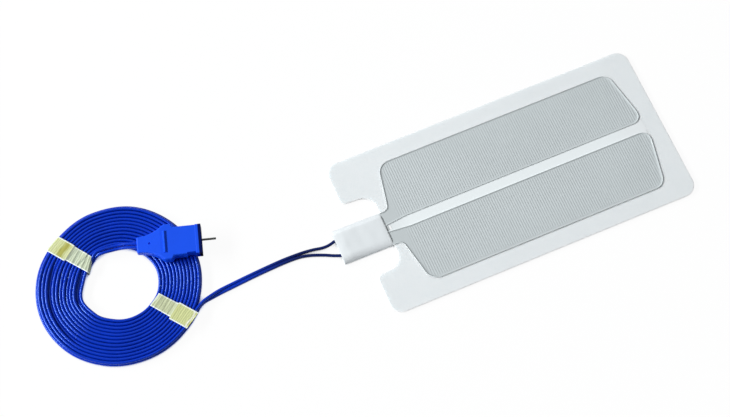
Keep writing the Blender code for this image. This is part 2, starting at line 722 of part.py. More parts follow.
def cut_pocket(body, frame):
    half_width = CORE_WIDTH / 2 + CLEARANCE
    half_height = CORE_THICKNESS / 2 + CLEARANCE
    pocket = box("pocket", (CORE_START_U - CLEARANCE, -half_width, -half_height),
                 (PLUG_LENGTH, half_width, half_height), None, frame)
    boolean(body, pocket)


def cut_wire_channels(body, frame):
    for side, word in ((1, "left"), (-1, "right")):
        path = plug_wire_path(side)
        path[0].x = CORE_START_U
        path.append(Vector((-2 * WIRE_DIAMETER, path[-1].y, 0.0)))
        route = smooth_route(path, WIRE_DIAMETER)
        channel = curve_tube(f"{word}_channel", route, CHANNEL_RADIUS, None, frame)
        boolean(body, as_mesh(channel))


def cut_key_and_dimple(body, frame):
    edge = PLUG_BLOCK_WIDTH / 2
    key = box("key", (KEY_START_U, -edge - 2 * KEY_DEPTH, -PLUG_THICKNESS),
              (KEY_START_U + KEY_LENGTH, -edge + KEY_DEPTH, PLUG_THICKNESS), None, frame)
    boolean(body, key)
    top = plug_thickness(DIMPLE_PLACE) / 2
    low = (DIMPLE_PLACE, 0.0, top - DIMPLE_RADIUS)
    high = (DIMPLE_PLACE, 0.0, top + DIMPLE_RADIUS)
    boolean(body, rod("dimple", low, high, DIMPLE_RADIUS, None, frame, segments=16))


def along_plug(name, start, end, v, radius, material, frame):
    """A rod or a bore along the plug, from one U to another."""
    return rod(name, (start, v, 0.0), (end, v, 0.0), radius, material, frame)


def make_carrier(frame):
    """The inner moulding: its front plate closes the body and its core holds the sockets and the pin."""
    half_width = PLUG_BLOCK_WIDTH / 2 + LIP_OVERHANG
    half_height = PLUG_THICKNESS / 2 + LIP_OVERHANG
    carrier = box("contact_carrier", (FACE_BACK_U, -half_width, -half_height),
                  (PLUG_LENGTH, half_width, half_height), carrier_navy, frame)
    round_edges(carrier, LIP_OVERHANG, segments=2)
    core = box("core", (CORE_START_U, -CORE_WIDTH / 2, -CORE_THICKNESS / 2),
               (FACE_BACK_U + FACE_THICKNESS / 2, CORE_WIDTH / 2, CORE_THICKNESS / 2), None, frame)
    boolean(carrier, core, "UNION")
    for side, word in ((1, "left"), (-1, "right")):
        v = side * SOCKET_SPACING / 2
        seat = along_plug(f"{word}_seat", CORE_START_U - CUT_MARGIN, SOCKET_FRONT_U + CLEARANCE, v,
                          SOCKET_OUTER_RADIUS + CLEARANCE, None, frame)
        hole = along_plug(f"{word}_hole", FACE_BACK_U, PLUG_LENGTH + CUT_MARGIN, v, FACE_HOLE_RADIUS, None, frame)
        boolean(carrier, seat)
        boolean(carrier, hole)
    pin_seat = along_plug("pin_seat", PLUG_LENGTH - PIN_ROOT - CLEARANCE, PLUG_LENGTH + CUT_MARGIN, 0.0,
                          PIN_RADIUS + CLEARANCE, None, frame)
    boolean(carrier, pin_seat)


def make_socket(side, word, frame):
    """A slit tube that grips the mating pin, with a crimp barrel at its back."""
    v = side * SOCKET_SPACING / 2
    socket = along_plug(f"contact_socket_{word}", SOCKET_REAR_U, SOCKET_FRONT_U, v,
                        SOCKET_OUTER_RADIUS, plated_metal, frame)
    crimp = along_plug(f"{word}_crimp", CRIMP_REAR_U, SOCKET_REAR_U + SOCKET_FLOOR / 2, v,
                       BARREL_OUTER_RADIUS, None, frame)
    bore = along_plug(f"{word}_socket_bore", SOCKET_REAR_U + SOCKET_FLOOR, SOCKET_FRONT_U + CUT_MARGIN, v,
                      SOCKET_BORE_RADIUS, None, frame)
    crimp_bore = along_plug(f"{word}_crimp_bore", CRIMP_REAR_U - CUT_MARGIN, SOCKET_REAR_U, v,
                            BARREL_BORE_RADIUS, None, frame)
    boolean(socket, crimp, "UNION")
    boolean(socket, bore)
    boolean(socket, crimp_bore)
    low = (SOCKET_FRONT_U - SOCKET_SLIT_DEPTH, v - SOCKET_SLIT / 2, -2 * SOCKET_OUTER_RADIUS)
    high = (SOCKET_FRONT_U + CUT_MARGIN, v + SOCKET_SLIT / 2, 2 * SOCKET_OUTER_RADIUS)
    boolean(socket, box(f"{word}_slit", low, high, None, frame))
    strand = along_plug(f"plug_conductor_{word}", CRIMP_REAR_U, SOCKET_REAR_U - CLEARANCE, v,
                        CONDUCTOR_RADIUS, copper, frame)
    strand.data.shade_smooth()


def make_pin(frame):
    pin = along_plug("locating_pin", PLUG_LENGTH - PIN_ROOT, PLUG_LENGTH + PIN_REACH, 0.0,
                     PIN_RADIUS, steel, frame)
    round_edges(pin, PIN_RADIUS / 2, segments=3)


def make_plug_lead(side, word):
    """One wire from the top of the coil into the plug and on to its socket."""
    inside = [PLUG_FRAME @ point for point in reversed(plug_wire_path(side))]
    middle = route_points(PLUG_TAIL_ROUTE, (*COIL_CENTRE, COIL_TOP))
    outside = []
    for index, point in enumerate(middle):
        ahead = middle[min(index + 1, len(middle) - 1)] - middle[max(index - 1, 0)]
        across = Vector((-ahead.y, ahead.x, 0.0)).normalized()
        outside.append(point + across * side * REAR_WIRE_SPACING / 2)
    route = smooth_route(outside + inside, WIRE_DIAMETER)
    curve_tube(f"plug_wire_{word}", route, WIRE_RADIUS, wire_blue)


def make_plug():
    frame = bpy.data.objects.new("plug_frame", None)
    parts.objects.link(frame)
    frame.matrix_world = PLUG_FRAME
    make_plug_body(frame)
    make_carrier(frame)
    make_pin(frame)
    for side, word in ((1, "left"), (-1, "right")):
        make_socket(side, word, frame)
        make_plug_lead(side, word)


clear_scene()
parts = make_collection("return_electrode")
cutters = make_collection("cutters")

foam = make_material("white_foam", (0.79, 0.82, 0.83), 0.85)
sleeve_foam = make_material("sleeve_foam", (0.82, 0.86, 0.88), 0.7)
film = make_material("clear_film", (0.83, 0.86, 0.87), 0.25)
foil = make_material("aluminium_foil", (0.60, 0.62, 0.63), 0.35, 1.0)
gel = make_material("grey_gel", (0.50, 0.55, 0.56), 0.3)
plated_metal = make_material("plated_metal", (0.72, 0.70, 0.64), 0.3, 1.0)
copper = make_material("bare_copper", (0.80, 0.46, 0.30), 0.35, 1.0)
wire_blue = make_material("wire_blue", (0.01, 0.04, 0.55), 0.35)
paper_tape = make_material("paper_tape", (0.72, 0.72, 0.46), 0.75)
plug_blue = make_material("plug_blue", (0.015, 0.10, 0.85), 0.4)
carrier_navy = make_material("carrier_navy", (0.003, 0.01, 0.10), 0.45)
steel = make_material("steel", (0.45, 0.46, 0.46), 0.35, 1.0)

make_foam()
make_carrier_film()
make_halves()
make_divider()
make_sleeve()
for clip_side, clip_word, clip_leg in ((1, "left", LEFT_LEG), (-1, "right", RIGHT_LEG)):
    make_clip(clip_side, clip_word)
    make_lead(clip_side, clip_word, clip_leg)
make_coil()
for tape_name, tape_angle, tape_skew in TAPES:
    make_tape(tape_name, tape_angle, tape_skew)
make_plug()
bpy.context.view_layer.update()
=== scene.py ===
"""Looks for a split patient return electrode: gel halves, foam, folded sleeve, coiled twin lead and plug.

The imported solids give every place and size. This script winds the real lead, ribs the gel, folds the sleeve,
wraps the two paper tapes and gives each piece the finish of its real material.
"""

import math

import bmesh
import bpy
import numpy as np
from mathutils import Matrix, Vector, noise


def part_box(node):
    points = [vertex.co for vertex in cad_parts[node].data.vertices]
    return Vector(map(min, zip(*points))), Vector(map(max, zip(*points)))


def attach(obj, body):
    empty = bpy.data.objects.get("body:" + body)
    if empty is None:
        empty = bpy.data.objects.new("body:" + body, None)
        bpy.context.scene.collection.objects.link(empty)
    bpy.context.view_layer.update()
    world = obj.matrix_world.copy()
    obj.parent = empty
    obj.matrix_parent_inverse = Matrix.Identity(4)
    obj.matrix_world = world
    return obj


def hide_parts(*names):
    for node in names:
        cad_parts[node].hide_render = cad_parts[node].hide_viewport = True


bl_info = {
    "name": "Patient return electrode",
    "version": (1, 0, 0),
    "blender": (4, 5, 0),
    "location": "3D View > Sidebar > Electrode",
    "description": "Dresses the solids of a split patient return electrode and sets its studio",
    "category": "Object",
}

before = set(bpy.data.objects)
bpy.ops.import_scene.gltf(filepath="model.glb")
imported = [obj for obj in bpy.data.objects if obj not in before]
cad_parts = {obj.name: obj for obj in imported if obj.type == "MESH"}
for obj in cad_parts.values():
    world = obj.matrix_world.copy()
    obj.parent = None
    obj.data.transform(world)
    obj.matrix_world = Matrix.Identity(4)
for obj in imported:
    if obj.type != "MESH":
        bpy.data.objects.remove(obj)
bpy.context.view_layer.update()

MM = 0.001
UP = Vector((0.0, 0.0, 1.0))
WHITE = (1.0, 1.0, 1.0, 1.0)
BODY = "root"
SIDES = ((1, "left"), (-1, "right"))

foam_low, foam_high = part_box("foam_backing")
gel_low, gel_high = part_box("gel_pad_left")
foil_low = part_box("foil_plate_left")[0]
sleeve_low, sleeve_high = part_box("connection_sleeve")
coil_low, coil_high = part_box("cable_coil")
divider_low, divider_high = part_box("tab_divider")

COIL_CENTRE = (coil_low + coil_high) / 2
COIL_OUTER_RADIUS = (coil_high.x - coil_low.x) / 2
TURN_PITCH = 2.08 * MM
NECK_X = gel_low.x

# Where each wire ends in its clip inside the sleeve, with Y on the left side
CLIP_X, CLIP_Y, CLIP_Z = -103.0 * MM, 5.2 * MM, 2.05 * MM

# The plug's own frame: U from the cord end to the face, V to its left, W up
PLUG_REAR = Vector((-216.23, 45.8, 8.4)) * MM
PLUG_TURN = math.radians(-17.0)
PLUG_FRAME = Matrix.Translation(PLUG_REAR) @ Matrix.Rotation(PLUG_TURN, 4, "Z")

# Routes in millimetres. The pair's middle from the split to the coil, and how far the pair is turned on edge.
TAIL_ROUTE = (
    ((-131.5, 5.3, 1.0), 0.0),
    ((-141.2, 5.4, 1.0), 0.0),
    ((-157.5, 4.6, 1.0), 0.0),
    ((-172.6, 3.4, 1.2), 8.0),
    ((-181.0, 2.5, 1.7), 32.0),
    ((-187.2, 1.35, 2.2), 60.0),
    ((-191.9, 0.35, 2.5), 80.0),
    ((-195.4, -1.35, 2.55), 88.0),
)
# Each wire on its own from the sleeve to the split
LEFT_LEG = ((-110.5, 4.1, 1.7), (-115.0, 4.2, 1.1), (-120.4, 5.3, 1.0), (-126.0, 6.0, 1.0))
RIGHT_LEG = ((-110.6, -3.3, 1.7), (-115.5, -0.6, 1.1), (-120.8, 1.7, 1.0), (-126.0, 3.4, 1.0))
# The pair's middle from the last turn to the back of the plug
PLUG_TAIL_ROUTE = (
    (-235.7, 52.3, 5.0),
    (-231.8, 51.8, 5.2),
    (-226.85, 50.9, 5.6),
    (-221.94, 49.1, 7.2),
    (-216.9, 46.7, 8.4),
)
# Where the last turn climbs out of the coil: angle, distance from the coil's centre, height and edge angle
CLIMB_ROUTE = ((127.0, 22.2, 2.5, 80.0), (114.0, 23.0, 2.75, 62.0), (104.0, 24.0, 4.1, 22.0))
# How far the outermost and innermost turns stray from an even spiral, in millimetres at every 30 degrees
OUTER_STRAY = (1.35, 2.1, 2.6, 1.6, 0.4, 0.95, 1.0, 0.75, 0.15, -0.5, -0.7, 0.6)
INNER_STRAY = (1.05, 0.75, 0.7, 0.75, 0.8, 0.1, 1.85, 0.3, -0.7, -0.6, -0.2, 0.65)
# How far the upper wires lie inside the lower ones, in millimetres at every 45 degrees
LEAN = (0.9, 1.3, 1.5, 1.6, 1.3, 0.6, 0.4, 0.5)
# Turns that sink between their neighbours: turn, half width in turns and depth in millimetres
SUNKEN = ((3.39, 0.12, 1.3), (6.44, 0.06, 0.7), (8.44, 0.06, 0.7), (11.44, 0.08, 1.6), (12.43, 0.06, 0.8))
# Inside the plug: millimetres from its back, and shares of the way from the pair to the contacts
PLUG_WIRE_U = (5.0, 13.5, 18.2, 21.7)
PLUG_WIRE_SPREAD = (0.0, 0.5, 1.0, 1.0)


def linear(code):
    """A colour written as sRGB hex, as the linear numbers that shaders take."""
    values = [int(code[place : place + 2], 16) / 255 for place in (1, 3, 5)]
    return tuple(v / 12.92 if v <= 0.04045 else ((v + 0.055) / 1.055) ** 2.4 for v in values)


def shade(colour, factor=1.0):
    """A colour property made lighter or darker, with an alpha of one."""
    return (*(min(1.0, part * factor) for part in colour), 1.0)


def length_property(name, description, default):
    return bpy.props.FloatProperty(
        name=name, description=description, default=default, unit="LENGTH", subtype="DISTANCE", precision=5
    )


def number_property(name, description, default, **more):
    return bpy.props.FloatProperty(name=name, description=description, default=default, **more)


def angle_property(name, description, degrees):
    return number_property(name, description, math.radians(degrees), subtype="ANGLE")


def colour_property(name, description, code):
    return bpy.props.FloatVectorProperty(
        name=name, description=description, default=linear(code), subtype="COLOR", min=0.0, max=1.0
    )


class PadSettings(bpy.types.PropertyGroup):
    foam_colour: colour_property("Foam", "Colour of the closed-cell foam", "#E6EBED")
    foam_edge: length_property("Foam edge", "Rounding of the foam's cut edge", 0.25 * MM)
    foam_top: length_property("Foam top", "Height of the foam's upper face", 1.6 * MM)
    foam_lean: length_property("Foam lean", "How far the foam's wall leans in underneath", 0.75 * MM)
    gel_colour: colour_property("Gel", "Colour of the conductive gel", "#BFC7C9")
    gel_top: length_property("Gel top", "Height of the gel inside its bead", 1.76 * MM)
    rib_pitch: length_property("Rib pitch", "Distance between two ribs of the gel", 1.484 * MM)
    rib_height: length_property("Rib height", "Height of a rib from its foot to its crest", 0.125 * MM)
    rib_start: length_property("Rib start", "Distance from the neck at which the ribs begin", 7.0 * MM)
    rib_fade: length_property("Rib fade", "Distance over which the ribs reach full height", 8.0 * MM)
    bead_width: length_property("Bead width", "Width of the raised bead round each gel half", 1.05 * MM)
    bead_height: length_property("Bead height", "Height of that bead over the gel", 0.42 * MM)
    sleeve_colour: colour_property("Sleeve", "Colour of the sleeve's foam tape", "#E3E9EC")
    sleeve_wall: length_property("Sleeve wall", "Thickness of the sleeve's foam tape", 0.8 * MM)
    film_colour: colour_property("Film", "Colour of the film over the foam", "#E8EFF1")


class LeadSettings(bpy.types.PropertyGroup):
    wire_diameter: length_property("Wire diameter", "Outer diameter of each wire", 1.9 * MM)
    lead_length: length_property("Lead length", "Length of each wire from the sleeve to its contact", 2.96)
    tail_spacing: length_property("Tail spacing", "Distance between the wires along the tail", 2.0 * MM)
    coil_spacing: length_property("Coil spacing", "Distance between the stacked wires in the coil", 1.95 * MM)
    plug_spacing: length_property("Plug spacing", "Distance between the wires at the plug", 2.3 * MM)
    socket_spacing: length_property("Socket spacing", "Distance between the two contacts", 9.2 * MM)
    web_thickness: length_property("Web thickness", "Thickness of the web between the wires", 0.7 * MM)
    first_radius: length_property("First radius", "Radius at which the outermost turn starts", 48.6 * MM)
    pitch: length_property("Turn pitch", "Mean distance from one turn to the next", TURN_PITCH)
    first_angle: angle_property("First angle", "Where the outermost turn starts", -42.3)
    sweep: angle_property("Sweep", "Angle that the lead winds through", 4497.0)
    wire_colour: colour_property("Wire", "Colour of the wires' vinyl", "#002EB6")
    # Painted shade: the tail is given a darker vinyl colour for the shade beside the sleeve
    tail_shade_colour: colour_property("Tail", "Colour of the wires' vinyl beside the sleeve", "#070D50")


class TapeSettings(bpy.types.PropertyGroup):
    thickness: length_property("Thickness", "Thickness of the paper as drawn", 0.22 * MM)
    ripple: length_property("Ripple", "Height of the wrinkles that the turns press into the paper", 0.05 * MM)
    paper_colour: colour_property("Paper", "Colour of one layer of paper", "#D2DCC4")
    double_colour: colour_property("Double paper", "Colour where two layers of paper lie together", "#D6DCA0")
    cut_colour: colour_property("Cut edge", "Colour of the paper's cut edge", "#EAF4F2")


class PlugSettings(bpy.types.PropertyGroup):
    plug_colour: colour_property("Plug", "Colour of the moulded housing", "#0A4DE4")
    face_colour: colour_property("Face", "Colour of the contact carrier", "#03104E")
    pin_colour: colour_property("Pin", "Colour of the steel pin", "#707270")
    grain: length_property("Grain", "Size of the mould's spark-eroded grain as drawn", 0.4 * MM)


class StageSettings(bpy.types.PropertyGroup):
    target: bpy.props.FloatVectorProperty(
        name="Target",
        description="Point that the camera looks at",
        default=(-0.0818, 0.0178, 0.0),
        subtype="XYZ",
    )
    azimuth: angle_property("Azimuth", "Camera's azimuth", -23.235)
    elevation: angle_property("Elevation", "Camera's elevation", 68.59)
    distance: length_property("Distance", "Camera's distance from its target", 1.0704)
    focal_length: number_property("Focal length", "Lens on a 36 mm sensor, in millimetres", 87.98)
    sky: number_property("Sky", "Light from all round", 0.19, min=0.0)
    key_power: number_property("Key power", "Power of the softbox at the left", 154.0, unit="POWER")
    top_power: number_property("Top power", "Power of the softbox overhead", 8.0, unit="POWER")
    floor_colour: colour_property("Floor", "Colour of the floor", "#F4F6F7")


class ElectrodeSettings(bpy.types.PropertyGroup):
    pad: bpy.props.PointerProperty(type=PadSettings)
    lead: bpy.props.PointerProperty(type=LeadSettings)
    tape: bpy.props.PointerProperty(type=TapeSettings)
    plug: bpy.props.PointerProperty(type=PlugSettings)
    stage: bpy.props.PointerProperty(type=StageSettings)


def add(tree, kind, settings=None, inputs=None):
    """Add a node with its settings; an input takes a value, or a socket to link from."""
    node = tree.nodes.new(kind)
    for name, value in (settings or {}).items():
        setattr(node, name, value)
    for name, value in (inputs or {}).items():
        if isinstance(value, bpy.types.NodeSocket):
            tree.links.new(value, node.inputs[name])
        else:
            node.inputs[name].default_value = value
    return node


def new_material(name):
    material = bpy.data.materials.new(name)
    material.use_nodes = True
    material.node_tree.nodes.clear()
    return material, material.node_tree


def extruded_vinyl(colour, tail_shade_colour):
    """Plasticised PVC drawn through a die: deep blue with a soft gloss, and painted shade that darkens the
    tail.
    """
    material, tree = new_material("extruded_vinyl")
    place = add(tree, "ShaderNodeTexCoord").outputs["Object"]
    handling = add(tree, "ShaderNodeTexNoise", inputs={"Vector": place, "Scale": 90.0, "Detail": 2.0})
    tone = add(
        tree,
        "ShaderNodeMix",
        {"data_type": "RGBA"},
        {"Factor": handling.outputs["Fac"], "A": shade(colour, 0.82), "B": shade(colour, 1.14)},
    )
    axes = add(tree, "ShaderNodeSeparateXYZ", inputs={"Vector": place})
    # Painted shade: the vinyl is drawn darker along the tail beside the sleeve
    tail = add(
        tree,
        "ShaderNodeMapRange",
        {"interpolation_type": "SMOOTHSTEP"},
        {"Value": axes.outputs["X"], "From Min": -180.0 * MM, "From Max": -126.0 * MM},
    )
    tail_shaded = add(
        tree,
        "ShaderNodeMix",
        {"data_type": "RGBA"},
        {"Factor": tail.outputs["Result"], "A": tone.outputs["Result"], "B": shade(tail_shade_colour)},
    )
    # Die lines are far too fine to show, so the waves are drawn 1.5 mm long
    waves = add(tree, "ShaderNodeTexNoise", inputs={"Vector": place, "Scale": 650.0, "Detail": 1.0})
    relief = add(
        tree,
        "ShaderNodeBump",
        inputs={"Height": waves.outputs["Fac"], "Strength": 0.04, "Distance": 0.05 * MM},
    )
    shader = add(
        tree,
        "ShaderNodeBsdfPrincipled",
        inputs={
            "Base Color": tail_shaded.outputs["Result"],
            "Roughness": 0.25,
            "IOR": 1.5,
            "Specular IOR Level": 0.75,
            "Specular Tint": shade(linear("#95C8FF")),
            "Normal": relief.outputs["Normal"],
        },
    )
    add(tree, "ShaderNodeOutputMaterial", inputs={"Surface": shader.outputs["BSDF"]})
    return material


def moulded_plastic(name, colour, grain, gloss=0.2):
    """Injection-moulded ABS from a spark-eroded mould: even colour and a fine grain that lowers the gloss."""
    material, tree = new_material(name)
    place = add(tree, "ShaderNodeTexCoord").outputs["Object"]
    flow = add(tree, "ShaderNodeTexNoise", inputs={"Vector": place, "Scale": 120.0, "Detail": 3.0})
    tone = add(
        tree,
        "ShaderNodeMix",
        {"data_type": "RGBA"},
        {"Factor": flow.outputs["Fac"], "A": shade(colour, 0.94), "B": shade(colour, 1.06)},
    )
    grit = add(tree, "ShaderNodeTexNoise", inputs={"Vector": place, "Scale": 1.0 / grain, "Detail": 2.0})
    relief = add(
        tree,
        "ShaderNodeBump",
        inputs={"Height": grit.outputs["Fac"], "Strength": 0.18, "Distance": 0.04 * MM},
    )
    shader = add(
        tree,
        "ShaderNodeBsdfPrincipled",
        inputs={
            "Base Color": tone.outputs["Result"],
            "Roughness": 0.45,
            "IOR": 1.5,
            "Specular IOR Level": gloss,
            "Normal": relief.outputs["Normal"],
        },
    )
    add(tree, "ShaderNodeOutputMaterial", inputs={"Surface": shader.outputs["BSDF"]})
    return material


def closed_cell_foam(name, colour, roughness=0.8, bleed=0.0):
    """Cross-linked polyethylene foam: closed cells 0.3 mm across, drawn at 0.6 mm, under a matte skin."""
    material, tree = new_material(name)
    place = add(tree, "ShaderNodeTexCoord").outputs["Object"]
    cloud = add(tree, "ShaderNodeTexNoise", inputs={"Vector": place, "Scale": 28.0, "Detail": 2.0})
    tone = add(
        tree,
        "ShaderNodeMix",
        {"data_type": "RGBA"},
        {"Factor": cloud.outputs["Fac"], "A": shade(colour, 0.965), "B": shade(colour, 1.02)},
    )
    cells = add(tree, "ShaderNodeTexVoronoi", inputs={"Vector": place, "Scale": 1.0 / (0.6 * MM)})
    relief = add(
        tree,
        "ShaderNodeBump",
        inputs={"Height": cells.outputs["Distance"], "Strength": 0.04, "Distance": 0.06 * MM},
    )
    shader = add(
        tree,
        "ShaderNodeBsdfPrincipled",
        inputs={
            "Base Color": tone.outputs["Result"],
            "Roughness": roughness,
            "IOR": 1.45,
            "Specular IOR Level": 0.25,
            "Subsurface Weight": 1.0 if bleed else 0.0,
            "Subsurface Radius": (1.0, 1.0, 1.0),
            "Subsurface Scale": bleed,
            "Normal": relief.outputs["Normal"],
        },
    )
    add(tree, "ShaderNodeOutputMaterial", inputs={"Surface": shader.outputs["BSDF"]})
    return material


def conductive_hydrogel(colour):
    """Cross-linked hydrogel on foil: grey from the foil beneath, moist and softly glossy, a little cloudy."""
    material, tree = new_material("conductive_hydrogel")
    place = add(tree, "ShaderNodeTexCoord").outputs["Object"]
    cloud = add(tree, "ShaderNodeTexNoise", inputs={"Vector": place, "Scale": 22.0, "Detail": 3.0})
    tone = add(
        tree,
        "ShaderNodeMix",
        {"data_type": "RGBA"},
        {"Factor": cloud.outputs["Fac"], "A": shade(colour, 0.94), "B": shade(colour, 1.05)},
    )
    edge = add(tree, "ShaderNodeAttribute", {"attribute_name": "edge_gloss"})
    # Painted light: the gel's outer wall and crest are drawn in a pale foam colour that softens their shade
    wall = add(tree, "ShaderNodeAttribute", {"attribute_name": "painted_wall_light"})
    wall_lightened = add(
        tree,
        "ShaderNodeMix",
        {"data_type": "RGBA"},
        {"Factor": wall.outputs["Fac"], "A": tone.outputs["Result"], "B": shade(linear("#D9DFE1"))},
    )
    # The moulded bead is smooth and shines, the ribbed face is duller
    gloss = add(
        tree,
        "ShaderNodeMapRange",
        inputs={"Value": edge.outputs["Fac"], "To Min": 0.4, "To Max": 0.2},
    )
    grit = add(tree, "ShaderNodeTexNoise", inputs={"Vector": place, "Scale": 420.0, "Detail": 2.0})
    relief = add(
        tree, "ShaderNodeBump", inputs={"Height": grit.outputs["Fac"], "Strength": 0.3, "Distance": 0.12 * MM}
    )
    shader = add(
        tree,
        "ShaderNodeBsdfPrincipled",
        inputs={
            "Base Color": wall_lightened.outputs["Result"],
            "Roughness": gloss.outputs["Result"],
            "IOR": 1.4,
            "Normal": relief.outputs["Normal"],
        },
    )
    add(tree, "ShaderNodeOutputMaterial", inputs={"Surface": shader.outputs["BSDF"]})
    return material


def polyester_film(colour, foam):
    """Clear polyester on white foam: the foam's white under a smooth sheen, greyer at the neck."""
    material, tree = new_material("polyester_film")
    place = add(tree, "ShaderNodeTexCoord").outputs["Object"]
    axes = add(tree, "ShaderNodeSeparateXYZ", inputs={"Vector": place})
    reach = add(
        tree,
        "ShaderNodeMapRange",
        inputs={"Value": axes.outputs["X"], "From Min": NECK_X + 2.0 * MM, "From Max": NECK_X + 16.0 * MM},
    )
    tone = add(
        tree,
        "ShaderNodeMix",
        {"data_type": "RGBA"},
        {"Factor": reach.outputs["Result"], "A": shade(colour, 0.9), "B": shade(colour)},
    )
    far = add(
        tree,
        "ShaderNodeMapRange",
        {"interpolation_type": "SMOOTHSTEP"},
        {
            "Value": axes.outputs["X"],
            "From Min": foam_high.x - 40.0 * MM,
            "From Max": foam_high.x - 14.0 * MM,
        },
    )
    ended = add(
        tree,
        "ShaderNodeMix",
        {"data_type": "RGBA"},
        {"Factor": far.outputs["Result"], "A": tone.outputs["Result"], "B": shade(foam)},
    )
    shader = add(
        tree,
        "ShaderNodeBsdfPrincipled",
        inputs={
            "Base Color": ended.outputs["Result"],
            "Roughness": 0.45,
            "IOR": 1.6,
            "Specular IOR Level": 0.3,
        },
    )
    add(tree, "ShaderNodeOutputMaterial", inputs={"Surface": shader.outputs["BSDF"]})
    return material


def crepe_paper(paper, double, cut):
    """Crepe masking tape: cream paper creased across the strip, yellower where two layers lie together."""
    material, tree = new_material("crepe_paper")
    layers = add(tree, "ShaderNodeAttribute", {"attribute_name": "layers"})
    edge = add(tree, "ShaderNodeAttribute", {"attribute_name": "cut_edge"})
    fold = add(tree, "ShaderNodeAttribute", {"attribute_name": "fold"})
    along = add(tree, "ShaderNodeUVMap", {"uv_map": "strip"})
    # The strip's map is in millimetres, so this scale makes a crease about every 1.3 mm
    creases = add(
        tree,
        "ShaderNodeTexWave",
        {"bands_direction": "X"},
        {"Vector": along.outputs["UV"], "Scale": 0.25, "Distortion": 4.0, "Detail": 2.0, "Detail Scale": 1.6},
    )
    blotches = add(
        tree, "ShaderNodeTexNoise", inputs={"Vector": along.outputs["UV"], "Scale": 0.5, "Detail": 3.0}
    )
    base = add(
        tree,
        "ShaderNodeMix",
        {"data_type": "RGBA"},
        {"Factor": layers.outputs["Fac"], "A": shade(paper), "B": shade(double)},
    )
    # Painted shade in the creases: their colour is darkened along with their bump
    crease_shaded = add(
        tree,
        "ShaderNodeMix",
        {"data_type": "RGBA", "blend_type": "MULTIPLY"},
        {"Factor": creases.outputs["Fac"], "A": base.outputs["Result"], "B": shade(linear("#DFE3DD"))},
    )
    blotched = add(
        tree,
        "ShaderNodeMix",
        {"data_type": "RGBA", "blend_type": "MULTIPLY"},
        {"Factor": blotches.outputs["Fac"], "A": crease_shaded.outputs["Result"], "B": shade(linear("#F3F3EF"))},
    )
    # A stain above nought darkens the paper towards olive: a yellow smear of glue, and at the front tape's
    # outer end a painted shadow; one below nought makes a paler place
    stain_and_shadow = add(tree, "ShaderNodeAttribute", {"attribute_name": "stain_and_shadow"})
    pressed = add(
        tree,
        "ShaderNodeMix",
        {"data_type": "RGBA"},
        {"Factor": stain_and_shadow.outputs["Fac"], "A": blotched.outputs["Result"], "B": shade(linear("#A6A552"))},
    )
    faded = add(tree, "ShaderNodeMath", {"operation": "MULTIPLY"}, {0: stain_and_shadow.outputs["Fac"], 1: -1.0})
    paled = add(
        tree,
        "ShaderNodeMix",
        {"data_type": "RGBA"},
        {"Factor": faded.outputs[0], "A": pressed.outputs["Result"], "B": shade(linear("#F3F5E6"))},
    )
    # Painted shade in the folds: the paper is drawn greyer where a fold dents it
    fold_shaded = add(
        tree,
        "ShaderNodeMix",
        {"data_type": "RGBA", "blend_type": "MULTIPLY"},
        {"Factor": fold.outputs["Fac"], "A": paled.outputs["Result"], "B": shade(linear("#CBD1D4"))},
    )
    edged = add(
        tree,
        "ShaderNodeMix",
        {"data_type": "RGBA"},
        {"Factor": edge.outputs["Fac"], "A": fold_shaded.outputs["Result"], "B": shade(cut)},
    )
    relief = add(
        tree,
        "ShaderNodeBump",
        inputs={"Height": creases.outputs["Fac"], "Strength": 0.35, "Distance": 0.08 * MM},
    )
    shader = add(
        tree,
        "ShaderNodeBsdfPrincipled",
        inputs={
            "Base Color": edged.outputs["Result"],
            "Roughness": 0.7,
            "Specular IOR Level": 0.3,
            "Normal": relief.outputs["Normal"],
        },
    )
    add(tree, "ShaderNodeOutputMaterial", inputs={"Surface": shader.outputs["BSDF"]})
    return material


def drawn_metal(name, colour, roughness, scale):
    """Metal that was drawn, rolled or turned: long fine marks along X that stretch its gloss."""
    material, tree = new_material(name)
    place = add(tree, "ShaderNodeTexCoord").outputs["Object"]
    stretched = add(tree, "ShaderNodeMapping", inputs={"Vector": place, "Scale": (0.08, 1.0, 1.0)})
    marks = add(
        tree,
        "ShaderNodeTexNoise",
        inputs={"Vector": stretched.outputs["Vector"], "Scale": scale, "Detail": 3.0},
    )
    tone = add(
        tree,
        "ShaderNodeMix",
        {"data_type": "RGBA"},
        {"Factor": marks.outputs["Fac"], "A": shade(colour, 0.82), "B": shade(colour, 1.1)},
    )
    rough = add(
        tree,
        "ShaderNodeMapRange",
        inputs={"Value": marks.outputs["Fac"], "To Min": roughness * 0.8, "To Max": roughness * 1.2},
    )
    shader = add(
        tree,
        "ShaderNodeBsdfPrincipled",
        inputs={"Base Color": tone.outputs["Result"], "Roughness": rough.outputs["Result"], "Metallic": 1.0},
    )
    add(tree, "ShaderNodeOutputMaterial", inputs={"Surface": shader.outputs["BSDF"]})
    return material


def divider_film():
    """Two layers of film: grey up to a white lip at the end."""
    material, tree = new_material("divider_film")
    place = add(tree, "ShaderNodeTexCoord").outputs["Object"]
    axes = add(tree, "ShaderNodeSeparateXYZ", inputs={"Vector": place})
    lip = add(
        tree,
        "ShaderNodeMapRange",
        inputs={
            "Value": axes.outputs["X"],
            "From Min": divider_high.x - 1.25 * MM,
            "From Max": divider_high.x - 1.05 * MM,
        },
    )
    tone = add(
        tree,
        "ShaderNodeMix",
        {"data_type": "RGBA"},
        {"Factor": lip.outputs["Result"], "A": shade(linear("#B4BABB")), "B": shade(linear("#F6F8F8"))},
    )
    shader = add(
        tree,
        "ShaderNodeBsdfPrincipled",
        inputs={"Base Color": tone.outputs["Result"], "Roughness": 0.35, "IOR": 1.6},
    )
    add(tree, "ShaderNodeOutputMaterial", inputs={"Surface": shader.outputs["BSDF"]})
    return material


